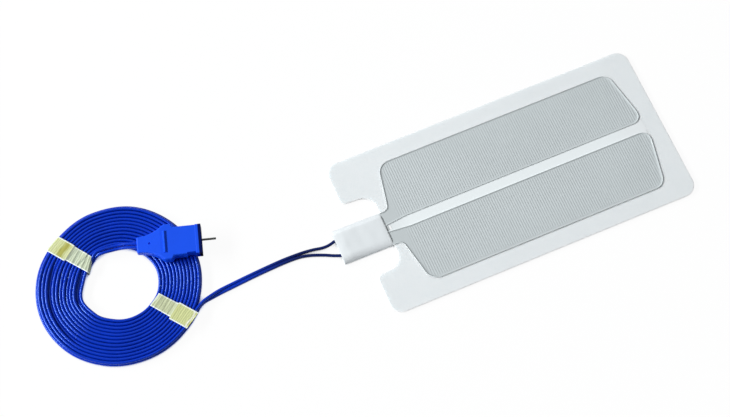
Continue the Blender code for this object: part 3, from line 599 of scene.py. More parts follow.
def white_table(colour):
    """A white laminate table, lit until the camera sees pure white, with the object's shadow on it."""
    material, tree = new_material("white_table")
    # The glow ends in the deep gaps between the turns, where a real table is dark
    full_glow = 0.95
    open_sky = add(tree, "ShaderNodeAmbientOcclusion", {"samples": 8}, {"Distance": 5.0 * MM})
    glow_share = add(
        tree,
        "ShaderNodeMapRange",
        {"interpolation_type": "SMOOTHSTEP"},
        {"Value": open_sky.outputs["AO"], "From Min": 0.15, "From Max": 0.55, "To Max": full_glow},
    )
    # A painted blue bounce: the table's glow and colour turn blue in the gaps between and beside the blue
    # turns
    place = add(tree, "ShaderNodeTexCoord").outputs["Object"]
    middle = (COIL_CENTRE.x, COIL_CENTRE.y, 0.0)
    away = add(tree, "ShaderNodeVectorMath", {"operation": "DISTANCE"}, {0: place, 1: middle})
    beside = add(
        tree,
        "ShaderNodeMapRange",
        {"interpolation_type": "SMOOTHSTEP"},
        {
            "Value": away.outputs["Value"],
            "From Min": COIL_OUTER_RADIUS + 1.0 * MM,
            "From Max": COIL_OUTER_RADIUS + 7.0 * MM,
            "To Min": 1.0,
            "To Max": 0.0,
        },
    )
    deep = add(
        tree, "ShaderNodeMath", {"operation": "SUBTRACT"}, {0: full_glow, 1: glow_share.outputs["Result"]}
    )
    blue_bounce_share = add(
        tree, "ShaderNodeMath", {"operation": "MULTIPLY"}, {0: deep.outputs[0], 1: beside.outputs["Result"]}
    )
    rim = add(
        tree, "ShaderNodeMath", {"operation": "MULTIPLY", "use_clamp": True}, {0: blue_bounce_share.outputs[0], 1: 3.0}
    )
    painted_bounce_glow = add(
        tree,
        "ShaderNodeMix",
        {"data_type": "RGBA"},
        {"Factor": rim.outputs[0], "A": WHITE, "B": shade(linear("#9FB6FF"))},
    )
    glow = add(tree, "ShaderNodeEmission", inputs={"Color": painted_bounce_glow.outputs["Result"], "Strength": 1.0})
    painted_bounce_ground = add(
        tree,
        "ShaderNodeMix",
        {"data_type": "RGBA"},
        {"Factor": blue_bounce_share.outputs[0], "A": shade(colour), "B": shade(linear("#16309A"))},
    )
    table = add(
        tree,
        "ShaderNodeBsdfPrincipled",
        inputs={"Base Color": painted_bounce_ground.outputs["Result"], "Roughness": 0.9, "Specular IOR Level": 0.0},
    )
    path = add(tree, "ShaderNodeLightPath")
    seen = add(
        tree,
        "ShaderNodeMath",
        {"operation": "MULTIPLY"},
        {0: path.outputs["Is Camera Ray"], 1: glow_share.outputs["Result"]},
    )
    surface = add(
        tree, "ShaderNodeMixShader", inputs={0: seen.outputs[0], 1: table.outputs[0], 2: glow.outputs[0]}
    )
    add(tree, "ShaderNodeOutputMaterial", inputs={"Surface": surface.outputs[0]})
    return material


def finish_piece(piece, material, slot, *nodes):
    """Give a finished piece its material, its place on the body and the nodes that it stands for."""
    piece.data.materials.clear()
    piece.data.materials.append(material)
    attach(piece, BODY)
    if nodes:
        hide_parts(*nodes)


def dress_node(name, material):
    """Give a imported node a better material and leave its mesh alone."""
    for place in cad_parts[name].material_slots:
        place.material = material


def placed(name, data):
    """A new object in the scene with this data."""
    piece = bpy.data.objects.new(name, data)
    bpy.context.scene.collection.objects.link(piece)
    return piece


def mesh_piece(name, vertices, faces, smooth=True):
    mesh = bpy.data.meshes.new(name)
    mesh.from_pydata([tuple(v) for v in vertices], [], faces)
    mesh.validate()
    if smooth:
        mesh.shade_smooth()
    return placed(name, mesh)


def worked_piece(name, work):
    """A new piece from a bmesh, which is freed."""
    mesh = bpy.data.meshes.new(name)
    work.to_mesh(mesh)
    work.free()
    return placed(name, mesh)


def grid_faces(lines, points):
    """Quads between lines of points that follow one another, with this many points in each line."""
    starts = [line * points + point for line in range(lines - 1) for point in range(points - 1)]
    return [(a, a + 1, a + points + 1, a + points) for a in starts]


def store_values(mesh, tables):
    """Store a value at each point of a mesh, under each table's name."""
    for name, values in tables.items():
        mesh.attributes.new(name, "FLOAT", "POINT").data.foreach_set("value", values)


def applied(piece):
    """Replace a piece's modifiers by the mesh that they make."""
    bpy.context.view_layer.update()
    evaluated = piece.evaluated_get(bpy.context.evaluated_depsgraph_get())
    mesh = bpy.data.meshes.new_from_object(evaluated)
    piece.modifiers.clear()
    piece.data = mesh
    return piece


def rounded_outline(corners):
    """Turn corners (x, y, radius) into points, with an arc at each corner that has a radius."""
    arc_step = 6.0
    points = []
    for index, (x, y, radius) in enumerate(corners):
        corner = Vector((x, y))
        if not radius:
            points.append(corner)
            continue
        before = (Vector(corners[index - 1][:2]) - corner).normalized()
        after = (Vector(corners[(index + 1) % len(corners)][:2]) - corner).normalized()
        half = before.angle(after) / 2
        centre = corner + (before + after).normalized() * radius / math.sin(half)
        start = corner + before * radius / math.tan(half) - centre
        turn = math.pi - 2 * half
        if before.x * after.y - before.y * after.x > 0:
            turn = -turn
        steps = max(2, round(abs(math.degrees(turn)) / arc_step))
        for step in range(steps + 1):
            points.append(centre + Matrix.Rotation(turn * step / steps, 2) @ start)
    return points


def smooth_route(points, spacing):
    """Points at an even spacing on a smooth curve through the given ones."""
    given = [Vector(point) for point in points]
    padded = [2 * given[0] - given[1], *given, 2 * given[-1] - given[-2]]
    dense = []
    for a, b, c, d in zip(padded, padded[1:], padded[2:], padded[3:]):
        line = c - a
        square = 2 * a - 5 * b + 4 * c - d
        cube = 3 * b - a - 3 * c + d
        for step in range(12):
            t = step / 12
            dense.append(0.5 * (2 * b + line * t + square * t**2 + cube * t**3))
    dense.append(given[-1])
    lengths = [0.0]
    for a, b in zip(dense, dense[1:]):
        lengths.append(lengths[-1] + (b - a).length)
    count = max(2, round(lengths[-1] / spacing))
    wanted = [lengths[-1] * step / count for step in range(count + 1)]
    columns = [np.interp(wanted, lengths, [point[axis] for point in dense]) for axis in range(3)]
    return [Vector(point) for point in zip(*columns)]


def ease(value):
    """A smooth step from nought to one."""
    value = min(max(value, 0.0), 1.0)
    return value * value * (3.0 - 2.0 * value)


def around(table, angle):
    """A value at this angle from a table of evenly spaced ones, joined smoothly all the way round."""
    place = (angle / math.tau % 1.0) * len(table)
    first = int(place) % len(table)
    share = ease(place - int(place))
    return table[first] * (1.0 - share) + table[(first + 1) % len(table)] * share


def on_coil(angle, radius, height):
    """A place by its angle round the coil, its distance from the coil's middle and its height."""
    outward = Vector((math.cos(angle), math.sin(angle), 0.0))
    return Vector((COIL_CENTRE.x, COIL_CENTRE.y, height)) + outward * radius


def coil_pair(lead, swept):
    """Both wires' places in the coil once the lead has swept this angle, the upper wire's first."""
    turn = swept / math.tau
    angle = lead.first_angle - swept
    outward = 1.0 - swept / lead.sweep
    stray = around(OUTER_STRAY, angle) * outward + around(INNER_STRAY, angle) * (1.0 - outward)
    lean = around(LEAN, angle) * (1.0 - turn / 60.0) + 0.08 * math.sin(turn * 5.3 + 0.6)
    lower_radius = lead.first_radius - lead.pitch * turn + stray * MM
    upper_radius = lower_radius - lean * MM
    sag = sum(depth * ease(1.5 - abs(turn - middle) / half) for middle, half, depth in SUNKEN)
    low = coil_low.z + lead.wire_diameter / 2
    high = low + lead.coil_spacing - sag * MM
    return on_coil(angle, upper_radius, high), on_coil(angle, lower_radius, low)


def across(route, index):
    """The level direction to the left of a route at one of its points."""
    ahead = route[min(index + 1, len(route) - 1)] - route[max(index - 1, 0)]
    return Vector((-ahead.y, ahead.x, 0.0)).normalized()


def wire_points(lead, side, leg):
    """The middle of one wire from its clip in the sleeve to its contact in the plug."""
    in_mouth = 0.95 * MM
    points = [Vector((x, side * CLIP_Y, CLIP_Z)) for x in (CLIP_X, sleeve_low.x + in_mouth)]
    points += [Vector(point) * MM for point in leg]
    middle = [Vector(point) * MM for point, edge in TAIL_ROUTE]
    for index, (point, edge) in enumerate(TAIL_ROUTE):
        turn = math.radians(edge)
        offset = UP * math.sin(turn) - across(middle, index) * math.cos(turn)
        points.append(middle[index] + offset * side * lead.tail_spacing / 2)
    degrees_a_step = 7.5
    steps = round(math.degrees(lead.sweep) / degrees_a_step)
    for step in range(steps + 1):
        upper, lower = coil_pair(lead, lead.sweep * step / steps)
        points.append(upper if side > 0 else lower)
    # The last turn rises and tips over until the pair lies flat
    for degrees, radius, height, edge in CLIMB_ROUTE:
        angle, turn = math.radians(degrees), math.radians(edge)
        outward = Vector((math.cos(angle), math.sin(angle), 0.0))
        offset = outward * math.cos(turn) + UP * math.sin(turn)
        points.append(on_coil(angle, radius * MM, height * MM) + offset * side * lead.coil_spacing / 2)
    tail = [Vector(point) * MM for point in PLUG_TAIL_ROUTE]
    for index, point in enumerate(tail):
        points.append(point + across(tail, index) * side * lead.plug_spacing / 2)
    for u, spread in zip(PLUG_WIRE_U, PLUG_WIRE_SPREAD):
        v = lead.plug_spacing / 2 + (lead.socket_spacing - lead.plug_spacing) / 2 * spread
        points.append(PLUG_FRAME @ Vector((u * MM, side * v, 0.0)))
    return points


def wire_curve(name, points, diameter):
    curve = bpy.data.curves.new(name, "CURVE")
    curve.dimensions = "3D"
    curve.bevel_depth = diameter / 2
    curve.bevel_resolution = 6
    curve.use_fill_caps = True
    spline = curve.splines.new("POLY")
    route = smooth_route(points, 1.5 * MM)
    spline.points.add(len(route) - 1)
    spline.points.foreach_set("co", [value for point in route for value in (*point, 1.0)])
    spline.use_smooth = True
    return placed(name, curve)


def web_piece(name, left, right, thickness):
    """The thin web that joins a pair of wires and overlaps a little with each of them."""
    overlap = 0.6 * MM
    vertices, faces = [], []
    for index, (a, b) in enumerate(zip(left, right)):
        level = (a - b).normalized()
        ahead = left[min(index + 1, len(left) - 1)] - left[max(index - 1, 0)]
        up = level.cross(ahead).normalized() * thickness / 2
        inner_a, inner_b = a - level * overlap, b + level * overlap
        vertices += [inner_a + up, inner_b + up, inner_b - up, inner_a - up]
        if index:
            base = 4 * index
            for corner in range(4):
                after = (corner + 1) % 4
                faces.append((base + corner, base + after, base - 4 + after, base - 4 + corner))
    faces += [(0, 1, 2, 3), tuple(len(vertices) - 1 - corner for corner in range(4))]
    return mesh_piece(name, vertices, faces)


class ELECTRODE_OT_stage(bpy.types.Operator):
    """Make the camera, the soft studio light and the white floor"""

    bl_idname = "electrode.stage"
    bl_label = "Stage"

    def execute(self, context):
        stage = context.scene.electrode.stage
        scene = context.scene
        scene.view_settings.view_transform = "Standard"
        target = Vector(stage.target)
        azimuth, elevation = stage.azimuth, stage.elevation
        level = math.cos(elevation)
        back = Vector((math.sin(azimuth) * level, -math.cos(azimuth) * level, math.sin(elevation)))
        lens = bpy.data.cameras.new("photo_camera")
        lens.lens = stage.focal_length
        lens.sensor_width = 36.0
        lens.clip_start, lens.clip_end = 0.05, 20.0
        camera = placed("photo_camera", lens)
        camera.location = target + back * stage.distance
        camera.rotation_euler = (math.pi / 2 - elevation, 0.0, azimuth)
        scene.camera = camera

        # The softboxes stand to the left and overhead as the camera sees the object, sizes in metres
        right = Vector((math.cos(azimuth), math.sin(azimuth), 0.0))
        upward = UP.cross(right)
        softboxes = (
            ("left_softbox", 1.6 * UP - 2.66 * right, (2.7, 0.5), stage.key_power),
            ("top_softbox", 2.3 * UP + 0.1 * right + 0.55 * upward, (2.4, 2.0), stage.top_power),
        )
        for name, place, size, power in softboxes:
            lamp = bpy.data.lights.new(name, "AREA")
            lamp.shape = "RECTANGLE"
            lamp.size, lamp.size_y = size
            lamp.energy = power
            holder = placed(name, lamp)
            holder.location = target + place
            holder.rotation_mode = "QUATERNION"
            holder.rotation_quaternion = (-place).to_track_quat("-Z", "Y")

        # The camera sees a white background, and the object a dimmer sky
        world = bpy.data.worlds.new("white_studio")
        world.use_nodes = True
        tree = world.node_tree
        tree.nodes.clear()
        path = add(tree, "ShaderNodeLightPath")
        sky_colour = shade(linear("#FCFDFF"))
        light = add(tree, "ShaderNodeBackground", inputs={"Color": sky_colour, "Strength": stage.sky})
        white = add(tree, "ShaderNodeBackground", inputs={"Color": WHITE, "Strength": 1.0})
        both = add(
            tree,
            "ShaderNodeMixShader",
            inputs={0: path.outputs["Is Camera Ray"], 1: light.outputs[0], 2: white.outputs[0]},
        )
        add(tree, "ShaderNodeOutputWorld", inputs={"Surface": both.outputs[0]})
        scene.world = world

        half, height = 2.5, -0.4 * MM
        corners = [(x * half, y * half, height) for x, y in ((-1, -1), (1, -1), (1, 1), (-1, 1))]
        floor = mesh_piece("white_floor", corners, [(0, 1, 2, 3)], smooth=False)
        floor.data.materials.append(white_table(stage.floor_colour))
        return {"FINISHED"}


class ELECTRODE_OT_lead(bpy.types.Operator):
    """Wind the twin lead from the sleeve through the coil to the plug"""

    bl_idname = "electrode.lead"
    bl_label = "Twin lead"

    def execute(self, context):
        lead = context.scene.electrode.lead
        vinyl = extruded_vinyl(lead.wire_colour, lead.tail_shade_colour)
        routes = {}
        for (side, word), leg in zip(SIDES, (LEFT_LEG, RIGHT_LEG)):
            points = wire_points(lead, side, leg)
            routes[word] = points
            wire = wire_curve(f"twin_lead_{word}", points, lead.wire_diameter)
            nodes = [f"lead_wire_{word}", f"plug_wire_{word}"]
            if side > 0:
                nodes.append("cable_coil")
            finish_piece(wire, vinyl, "wire_blue", *nodes)
        # The web starts at the split and ends out of sight, three points into the coil
        start = 2 + len(LEFT_LEG)
        end = start + len(TAIL_ROUTE) + 3
        dense = [smooth_route(routes[word][start:end], 2.0 * MM) for side, word in SIDES]
        count = min(len(line) for line in dense)
        web = web_piece("twin_lead_web", dense[0][:count], dense[1][:count], lead.web_thickness)
        finish_piece(web, vinyl, "wire_blue")
        return {"FINISHED"}


def foam_corners():
    """The foam's outline, with its bay between two lobes of unequal length."""
    half = foam_high.y
    left_end = foam_low.x
    right_end = NECK_X - 17.3 * MM
    return (
        (foam_high.x, -half, 8.0 * MM),
        (foam_high.x, half, 8.0 * MM),
        (left_end, half, 7.5 * MM),
        (left_end, 24.8 * MM, 3.6 * MM),
        (NECK_X, 23.8 * MM, 8.4 * MM),
        (NECK_X, -23.8 * MM, 8.4 * MM),
        (right_end, -24.8 * MM, 3.6 * MM),
        (right_end, -half, 7.5 * MM),
    )


def slab(name, corners, low, high, edge=0.0, undercut=0.0):
    """A flat sheet; where asked for, its upper rim is soft and its wall leans in underneath."""
    work = bmesh.new()
    outline = rounded_outline(corners)
    ring = [work.verts.new((point.x, point.y, low)) for point in outline]
    lifted = bmesh.ops.extrude_face_region(work, geom=[work.faces.new(ring)])
    top = [item for item in lifted["geom"] if isinstance(item, bmesh.types.BMVert)]
    bmesh.ops.translate(work, verts=top, vec=UP * (high - low))
    for index, corner in enumerate(ring):
        line = outline[(index + 1) % len(outline)] - outline[index - 1]
        corner.co += Vector((-line.y, line.x, 0.0)).normalized() * undercut
    bmesh.ops.recalc_face_normals(work, faces=work.faces)
    if edge:
        rims = [line for line in work.edges if min(end.co.z for end in line.verts) > high - 1e-7]
        bmesh.ops.bevel(work, geom=rims, offset=edge, segments=3, profile=0.5, affect="EDGES")
    # The flat top and bottom are single faces with many corners, and stay flat
    for side in work.faces:
        side.smooth = bool(edge) and len(side.verts) < 8
    return worked_piece(name, work)


class ELECTRODE_OT_foam(bpy.types.Operator):
    """Cut the foam backing with its bay and its two lobes"""

    bl_idname = "electrode.foam"
    bl_label = "Foam backing"

    def execute(self, context):
        pad = context.scene.electrode.pad
        sheet = slab("foam_sheet", foam_corners(), foam_low.z, pad.foam_top, pad.foam_edge, pad.foam_lean)
        foam = closed_cell_foam("closed_cell_foam", pad.foam_colour, bleed=1.5 * MM)
        finish_piece(sheet, foam, "white_foam", "foam_backing")
        return {"FINISHED"}


def film_corners():
    """The film's outline, just inside the outer edges of the gel halves, with its tab in the sleeve."""
    outer = gel_high.y - 0.3 * MM
    tab = 10.6 * MM
    neck_end = NECK_X + 5.9 * MM
    far = foam_high.x - 10.5 * MM
    return (
        (NECK_X - 12.0 * MM, -tab, 0.0),
        (neck_end, -tab, 4.0 * MM),
        (neck_end + 0.2 * (outer - tab), -outer, 8.0 * MM),
        (far - 0.19 * outer, -outer, 7.0 * MM),
        (far, 0.0, 2.0 * MM),
        (far - 0.19 * outer, outer, 7.0 * MM),
        (neck_end + 0.2 * (outer - tab), outer, 8.0 * MM),
        (neck_end, tab, 4.0 * MM),
        (NECK_X - 12.0 * MM, tab, 0.0),
    )


def gel_corners():
    """Corners of the left gel half from its neck round to its split edge."""
    outer = gel_high.y
    inner = 3.3 * MM
    neck_outer = 11.0 * MM
    neck_inner = 1.9 * MM
    neck_end = NECK_X + 5.6 * MM
    far_inner = foam_high.x - 9.8 * MM
    return [
        (NECK_X, neck_outer, 0.0),
        (NECK_X, neck_inner, 0.0),
        (NECK_X + 14.0 * MM, inner, 0.0),
        (far_inner + 0.19 * inner / 2, inner, 5.8 * MM),
        (far_inner - 0.19 * (outer - inner), outer, 7.4 * MM),
        (neck_end + 0.2 * (outer - neck_outer), outer, 8.4 * MM),
        (neck_end, neck_outer, 4.0 * MM),
    ]


def edge_distance(places, outline):
    """How far each place is from the outline, leaving out the edge that the sleeve covers."""
    nearest = np.full(len(places), 1.0)
    for a, b in zip(outline, outline[1:] + outline[:1]):
        if abs(a.x - NECK_X) < 1e-6 and abs(b.x - NECK_X) < 1e-6:
            continue
        start, span = np.array(a), np.array(b - a)
        share = np.clip(((places - start) @ span) / max(float(span @ span), 1e-12), 0.0, 1.0)
        nearest = np.minimum(nearest, np.linalg.norm(places - start - share[:, None] * span, axis=1))
    return nearest


def gel_body(name, side, pad):
    """One gel half as a closed body, with columns at a sixth of the rib pitch and a bead along its edge."""
    outline = rounded_outline(gel_corners())
    far = max(range(len(outline)), key=lambda index: outline[index].x)
    lower = [outline[index] for index in range(1, far + 1)]
    upper = [outline[index] for index in range(far, len(outline))] + [outline[0]]
    upper.reverse()
    step = pad.rib_pitch / 6
    count = math.ceil((outline[far].x - NECK_X) / step)
    xs = np.linspace(NECK_X, outline[far].x - 0.02 * MM, count)
    low = np.interp(xs, [point.x for point in lower], [point.y for point in lower])
    high = np.interp(xs, [point.x for point in upper], [point.y for point in upper])
    # The rows lie closer together on the bead than between the two beads
    near_edge = np.array((0.0, 0.15, 0.28, 0.4, 0.52, 0.64, 0.76, 0.9, 1.05, 1.5, 2.2)) * MM
    half = (high - low) / 2
    squeeze = np.minimum(1.0, half / (2.6 * MM))[:, None]
    first = low[:, None] + near_edge * squeeze
    last = (high[:, None] - near_edge * squeeze)[:, ::-1]
    shares = np.linspace(0.0, 1.0, 10)[1:-1]
    between = first[:, -1:] + (last[:, :1] - first[:, -1:]) * shares
    ys = np.concatenate((first, between, last), axis=1)
    columns, rows = ys.shape
    flat = np.stack((np.repeat(xs, rows), ys.ravel()), axis=1)
    distance = edge_distance(flat, outline)
    # The bead's crest is close to the gel's edge, so that most of its width is the slope down to the gel
    crest = 0.15 * MM
    slope = np.clip((distance - crest) / (pad.bead_width - crest), 0.0, 1.0)
    inside = pad.gel_top + pad.bead_height * (1.0 - slope * slope * (3.0 - 2.0 * slope))
    foot = pad.foam_top + 0.05 * MM
    wall = np.clip(distance / crest, 0.0, 1.0)
    outside = foot + (pad.gel_top + pad.bead_height - foot) * wall * (2.0 - wall)
    top = np.where(distance < crest, outside, inside)
    under = np.where(distance < 0.4 * MM, pad.foam_top + 0.04 * MM, pad.foam_top + 0.1 * MM)
    vertices = np.concatenate((np.column_stack((flat, top)), np.column_stack((flat, under))))
    vertices[:, 1] *= side
    total = columns * rows
    cell = (np.arange(columns - 1)[:, None] * rows + np.arange(rows - 1)).ravel()
    upper_faces = np.stack((cell, cell + rows, cell + rows + 1, cell + 1), axis=1)
    lower_faces = upper_faces[:, ::-1] + total
    rim = (
        [column * rows for column in range(columns)]
        + [(columns - 1) * rows + row for row in range(1, rows)]
        + [column * rows + rows - 1 for column in range(columns - 2, -1, -1)]
        + [row for row in range(rows - 2, 0, -1)]
    )
    wall_faces = [(b, a, a + total, b + total) for a, b in zip(rim, rim[1:] + rim[:1])]
    faces = [tuple(int(v) for v in face) for face in (*upper_faces, *lower_faces)] + wall_faces
    if side < 0:
        faces = [face[::-1] for face in faces]
    piece = mesh_piece(name, vertices, faces)
    # Painted light on the outer wall: full within 0.1 mm of the edge, gone by 0.3 mm
    shadow = np.clip(1.5 - distance / (0.2 * MM), 0.0, 1.0)
    gloss = np.clip((1.6 * MM - distance) / (0.4 * MM), 0.0, 1.0)
    tables = {"edge": distance, "painted_wall_light": shadow, "edge_gloss": gloss}
    store_values(piece.data, {name: np.concatenate((table, table)) for name, table in tables.items()})
    return piece


def rib_tree(material):
    """Geometry nodes that raise the cross ribs, clear of the bead, and fade them out at the neck."""
    tree = bpy.data.node_groups.new("gel_ribs", "GeometryNodeTree")
    face = tree.interface
    face.new_socket("Geometry", in_out="INPUT", socket_type="NodeSocketGeometry")
    for name in ("Pitch", "Height", "Start", "Fade", "Bead", "Floor"):
        face.new_socket(name, in_out="INPUT", socket_type="NodeSocketFloat")
    face.new_socket("Geometry", in_out="OUTPUT", socket_type="NodeSocketGeometry")
    given = add(tree, "NodeGroupInput").outputs
    place = add(tree, "GeometryNodeInputPosition")
    axes = add(tree, "ShaderNodeSeparateXYZ", inputs={"Vector": place.outputs["Position"]})
    turns = add(tree, "ShaderNodeMath", {"operation": "DIVIDE"}, {0: axes.outputs["X"], 1: given["Pitch"]})
    phase = add(tree, "ShaderNodeMath", {"operation": "MULTIPLY"}, {0: turns.outputs[0], 1: math.tau})
    # The wave swings both ways, so half its height makes the full rib, and its share ends at a half
    wave = add(tree, "ShaderNodeMath", {"operation": "COSINE"}, {0: phase.outputs[0]})
    height = add(tree, "ShaderNodeMath", {"operation": "MULTIPLY"}, {0: wave.outputs[0], 1: given["Height"]})
    end = add(tree, "ShaderNodeMath", {"operation": "ADD"}, {0: given["Start"], 1: given["Fade"]})
    fade = add(
        tree,
        "ShaderNodeMapRange",
        {"interpolation_type": "SMOOTHSTEP"},
        {"Value": axes.outputs["X"], "From Min": given["Start"], "From Max": end.outputs[0], "To Max": 0.5},
    )
    edge = add(tree, "GeometryNodeInputNamedAttribute", {"data_type": "FLOAT"}, {"Name": "edge"})
    clear = add(tree, "ShaderNodeMath", {"operation": "MULTIPLY"}, {0: given["Bead"], 1: 1.4})
    inside = add(
        tree,
        "ShaderNodeMapRange",
        {"interpolation_type": "SMOOTHSTEP"},
        {"Value": edge.outputs["Attribute"], "From Min": given["Bead"], "From Max": clear.outputs[0]},
    )
    top = add(
        tree, "ShaderNodeMath", {"operation": "GREATER_THAN"}, {0: axes.outputs["Z"], 1: given["Floor"]}
    )
    faded = add(
        tree, "ShaderNodeMath", {"operation": "MULTIPLY"}, {0: height.outputs[0], 1: fade.outputs["Result"]}
    )
    bounded = add(
        tree, "ShaderNodeMath", {"operation": "MULTIPLY"}, {0: faded.outputs[0], 1: inside.outputs["Result"]}
    )
    lifted = add(
        tree, "ShaderNodeMath", {"operation": "MULTIPLY"}, {0: bounded.outputs[0], 1: top.outputs[0]}
    )
    offset = add(tree, "ShaderNodeCombineXYZ", inputs={"Z": lifted.outputs[0]})
    moved = add(
        tree,
        "GeometryNodeSetPosition",
        inputs={"Geometry": given["Geometry"], "Offset": offset.outputs["Vector"]},
    )
    real = add(tree, "GeometryNodeRealizeInstances", inputs={"Geometry": moved.outputs["Geometry"]})
    coated = add(
        tree, "GeometryNodeSetMaterial", inputs={"Geometry": real.outputs["Geometry"], "Material": material}
    )
    add(tree, "NodeGroupOutput", inputs={0: coated.outputs["Geometry"]})
    return tree


def set_inputs(modifier, values):
    """Set a node modifier's inputs by name, through each socket's identifier."""
    for item in modifier.node_group.interface.items_tree:
        if item.item_type == "SOCKET" and item.in_out == "INPUT" and item.name in values:
            modifier[item.identifier] = values[item.name]


class ELECTRODE_OT_gel(bpy.types.Operator):
    """Cast the two gel halves with their ribs and edge beads"""

    bl_idname = "electrode.gel"
    bl_label = "Gel halves"

    def execute(self, context):
        pad = context.scene.electrode.pad
        gel = conductive_hydrogel(pad.gel_colour)
        tree = rib_tree(gel)
        for side, word in SIDES:
            piece = gel_body(f"gel_half_{word}", side, pad)
            ribs = piece.modifiers.new("Ribs", "NODES")
            ribs.node_group = tree
            set_inputs(
                ribs,
                {
                    "Pitch": pad.rib_pitch,
                    "Height": pad.rib_height,
                    "Start": NECK_X + pad.rib_start,
                    "Fade": pad.rib_fade,
                    "Bead": pad.bead_width,
                    "Floor": (pad.foam_top + pad.gel_top) / 2,
                },
            )
            applied(piece)
            finish_piece(piece, gel, "grey_gel", f"gel_pad_{word}")
        return {"FINISHED"}


def sleeve_section(seam_y, fold_y, middle, radius, wall):
    """The sleeve's middle line in the YZ plane: along the bottom from the seam, round the fold and back."""
    line = []
    shoulder = 3.4 * MM
    for step in range(9):
        share = step / 8
        line.append((seam_y - shoulder * share, middle - wall * 0.56 - (radius - wall * 0.56) * ease(share)))
    for step in range(1, 13):
        share = step / 12
        line.append((seam_y - shoulder + (fold_y - seam_y + shoulder) * share, middle - radius))
    for step in range(1, 16):
        angle = math.radians(270.0 - 180.0 * step / 16)
        line.append((fold_y + radius * math.cos(angle), middle + radius * math.sin(angle)))
    lower = line[:21]
    return line + [(y, 2 * middle - z) for y, z in reversed(lower)]


class ELECTRODE_OT_sleeve(bpy.types.Operator):
    """Fold the sleeve round the joint between the pad's tabs and the lead"""

    bl_idname = "electrode.sleeve"
    bl_label = "Connection sleeve"

    def execute(self, context):
        pad = context.scene.electrode.pad
        wall = pad.sleeve_wall
        middle = (sleeve_low.z + sleeve_high.z) / 2
        radius = (sleeve_high.z - sleeve_low.z - wall) / 2
        fold_y = sleeve_low.y + wall / 2 + radius
        section = sleeve_section(sleeve_high.y - 0.1 * MM, fold_y, middle, radius, wall)
        columns = 40
        long = sleeve_high.x - sleeve_low.x
        floor_z = middle - radius
        vertices = []
        for column in range(columns + 1):
            share = column / columns
            x = sleeve_low.x + long * share
            ends = min(share, 1.0 - share) * long
            tuck = 0.5 * MM * (1.0 - ease(ends / (2.2 * MM)))
            for y, z in section:
                height = (z - middle) / radius
                swell = 0.12 * MM * noise.noise(Vector((x, y, z * 0.3)) * 180.0)
                side = 1.0 if y > fold_y else 0.0
                lift = (swell - 0.25 * tuck) * height * side
                # Pressed flatter at its fold and at its mouth
                fold_share = ease((y - sleeve_low.y) / (4.0 * MM))
                mouth_share = min(1.0, (sleeve_high.x - x) / (26.0 * MM))
                press = (0.6 + 0.4 * fold_share) * (0.5 + 0.5 * mouth_share)
                pressed = floor_z + (z + lift - floor_z) * press
                vertices.append((x, y - tuck * 0.3 * max(0.0, y / sleeve_high.y), pressed))
        piece = mesh_piece("folded_sleeve", vertices, grid_faces(columns + 1, len(section)))
        shell = piece.modifiers.new("Wall", "SOLIDIFY")
        shell.thickness = wall
        shell.offset = 0.0
        shell.use_even_offset = True
        soft = piece.modifiers.new("Soft edge", "BEVEL")
        soft.width = 0.15 * MM
        soft.segments = 2
        soft.limit_method = "ANGLE"
        soft.angle_limit = math.radians(50.0)
        applied(piece)
        work = bmesh.new()
        work.from_mesh(piece.data)
        bmesh.ops.remove_doubles(work, verts=work.verts, dist=0.0001 * MM)
        bmesh.ops.recalc_face_normals(work, faces=work.faces)
        work.to_mesh(piece.data)
        work.free()
        piece.data.shade_smooth()
        foam_tape = closed_cell_foam("foam_tape", pad.sleeve_colour, 0.6)
        finish_piece(piece, foam_tape, "sleeve_foam", "connection_sleeve")
        return {"FINISHED"}


def foil_corners(side):
    """A foil half's outline: the gel half's drawn in by 0.5 mm, with a tab that runs into the sleeve."""
    inset = 0.5 * MM
    outer, tab_outer, tab_inner = gel_high.y - inset, 10.5 * MM, 2.4 * MM
    inner, neck_end = 3.3 * MM + inset, NECK_X + 6.1 * MM
    far_inner = foam_high.x - 9.8 * MM - inset
    corners = [
        (foil_low.x, tab_outer, 0.0),
        (foil_low.x, tab_inner, 0.0),
        (NECK_X, tab_inner, 0.0),
        (NECK_X + 14.0 * MM, inner, 0.0),
        (far_inner, inner, 5.3 * MM),
        (far_inner - 0.19 * (outer - inner), outer, 6.9 * MM),
        (neck_end + 0.2 * (outer - tab_outer), outer, 8.9 * MM),
        (neck_end, tab_outer, 4.0 * MM),
    ]
    if side > 0:
        return corners
    return [(x, -y, radius) for x, y, radius in reversed(corners)]


class ELECTRODE_OT_films(bpy.types.Operator):
    """Finish the film, the foil halves and the strip that keeps their tabs apart"""

    bl_idname = "electrode.films"
    bl_label = "Film and foil"

    def execute(self, context):
        pad = context.scene.electrode.pad
        film = polyester_film(pad.film_colour, pad.foam_colour)
        laid = slab("laid_film", film_corners(), pad.foam_top - 0.01 * MM, pad.foam_top + 0.03 * MM)
        finish_piece(laid, film, "clear_film", "carrier_film")
        rolled = drawn_metal("rolled_foil", linear("#CDD0D1"), 0.35, 300.0)
        for side, word in SIDES:
            corners = foil_corners(side)
            foil = slab(f"foil_half_{word}", corners, pad.foam_top + 0.04 * MM, pad.foam_top + 0.08 * MM)
            finish_piece(foil, rolled, "aluminium_foil", f"foil_plate_{word}")
        # The strip's end, with its white lip, lies in the gap beside the sleeve
        half = (divider_high.y - divider_low.y) / 2
        near, far = divider_low.x, divider_high.x
        corners = ((near, half, 0.0), (near, -half, 0.0), (far, -half, 0.0), (far, half, 0.0))
        strip = slab("divider_strip", corners, pad.foam_top + 0.04 * MM, pad.foam_top + 0.12 * MM)
        finish_piece(strip, divider_film(), "clear_film", "tab_divider")
        return {"FINISHED"}


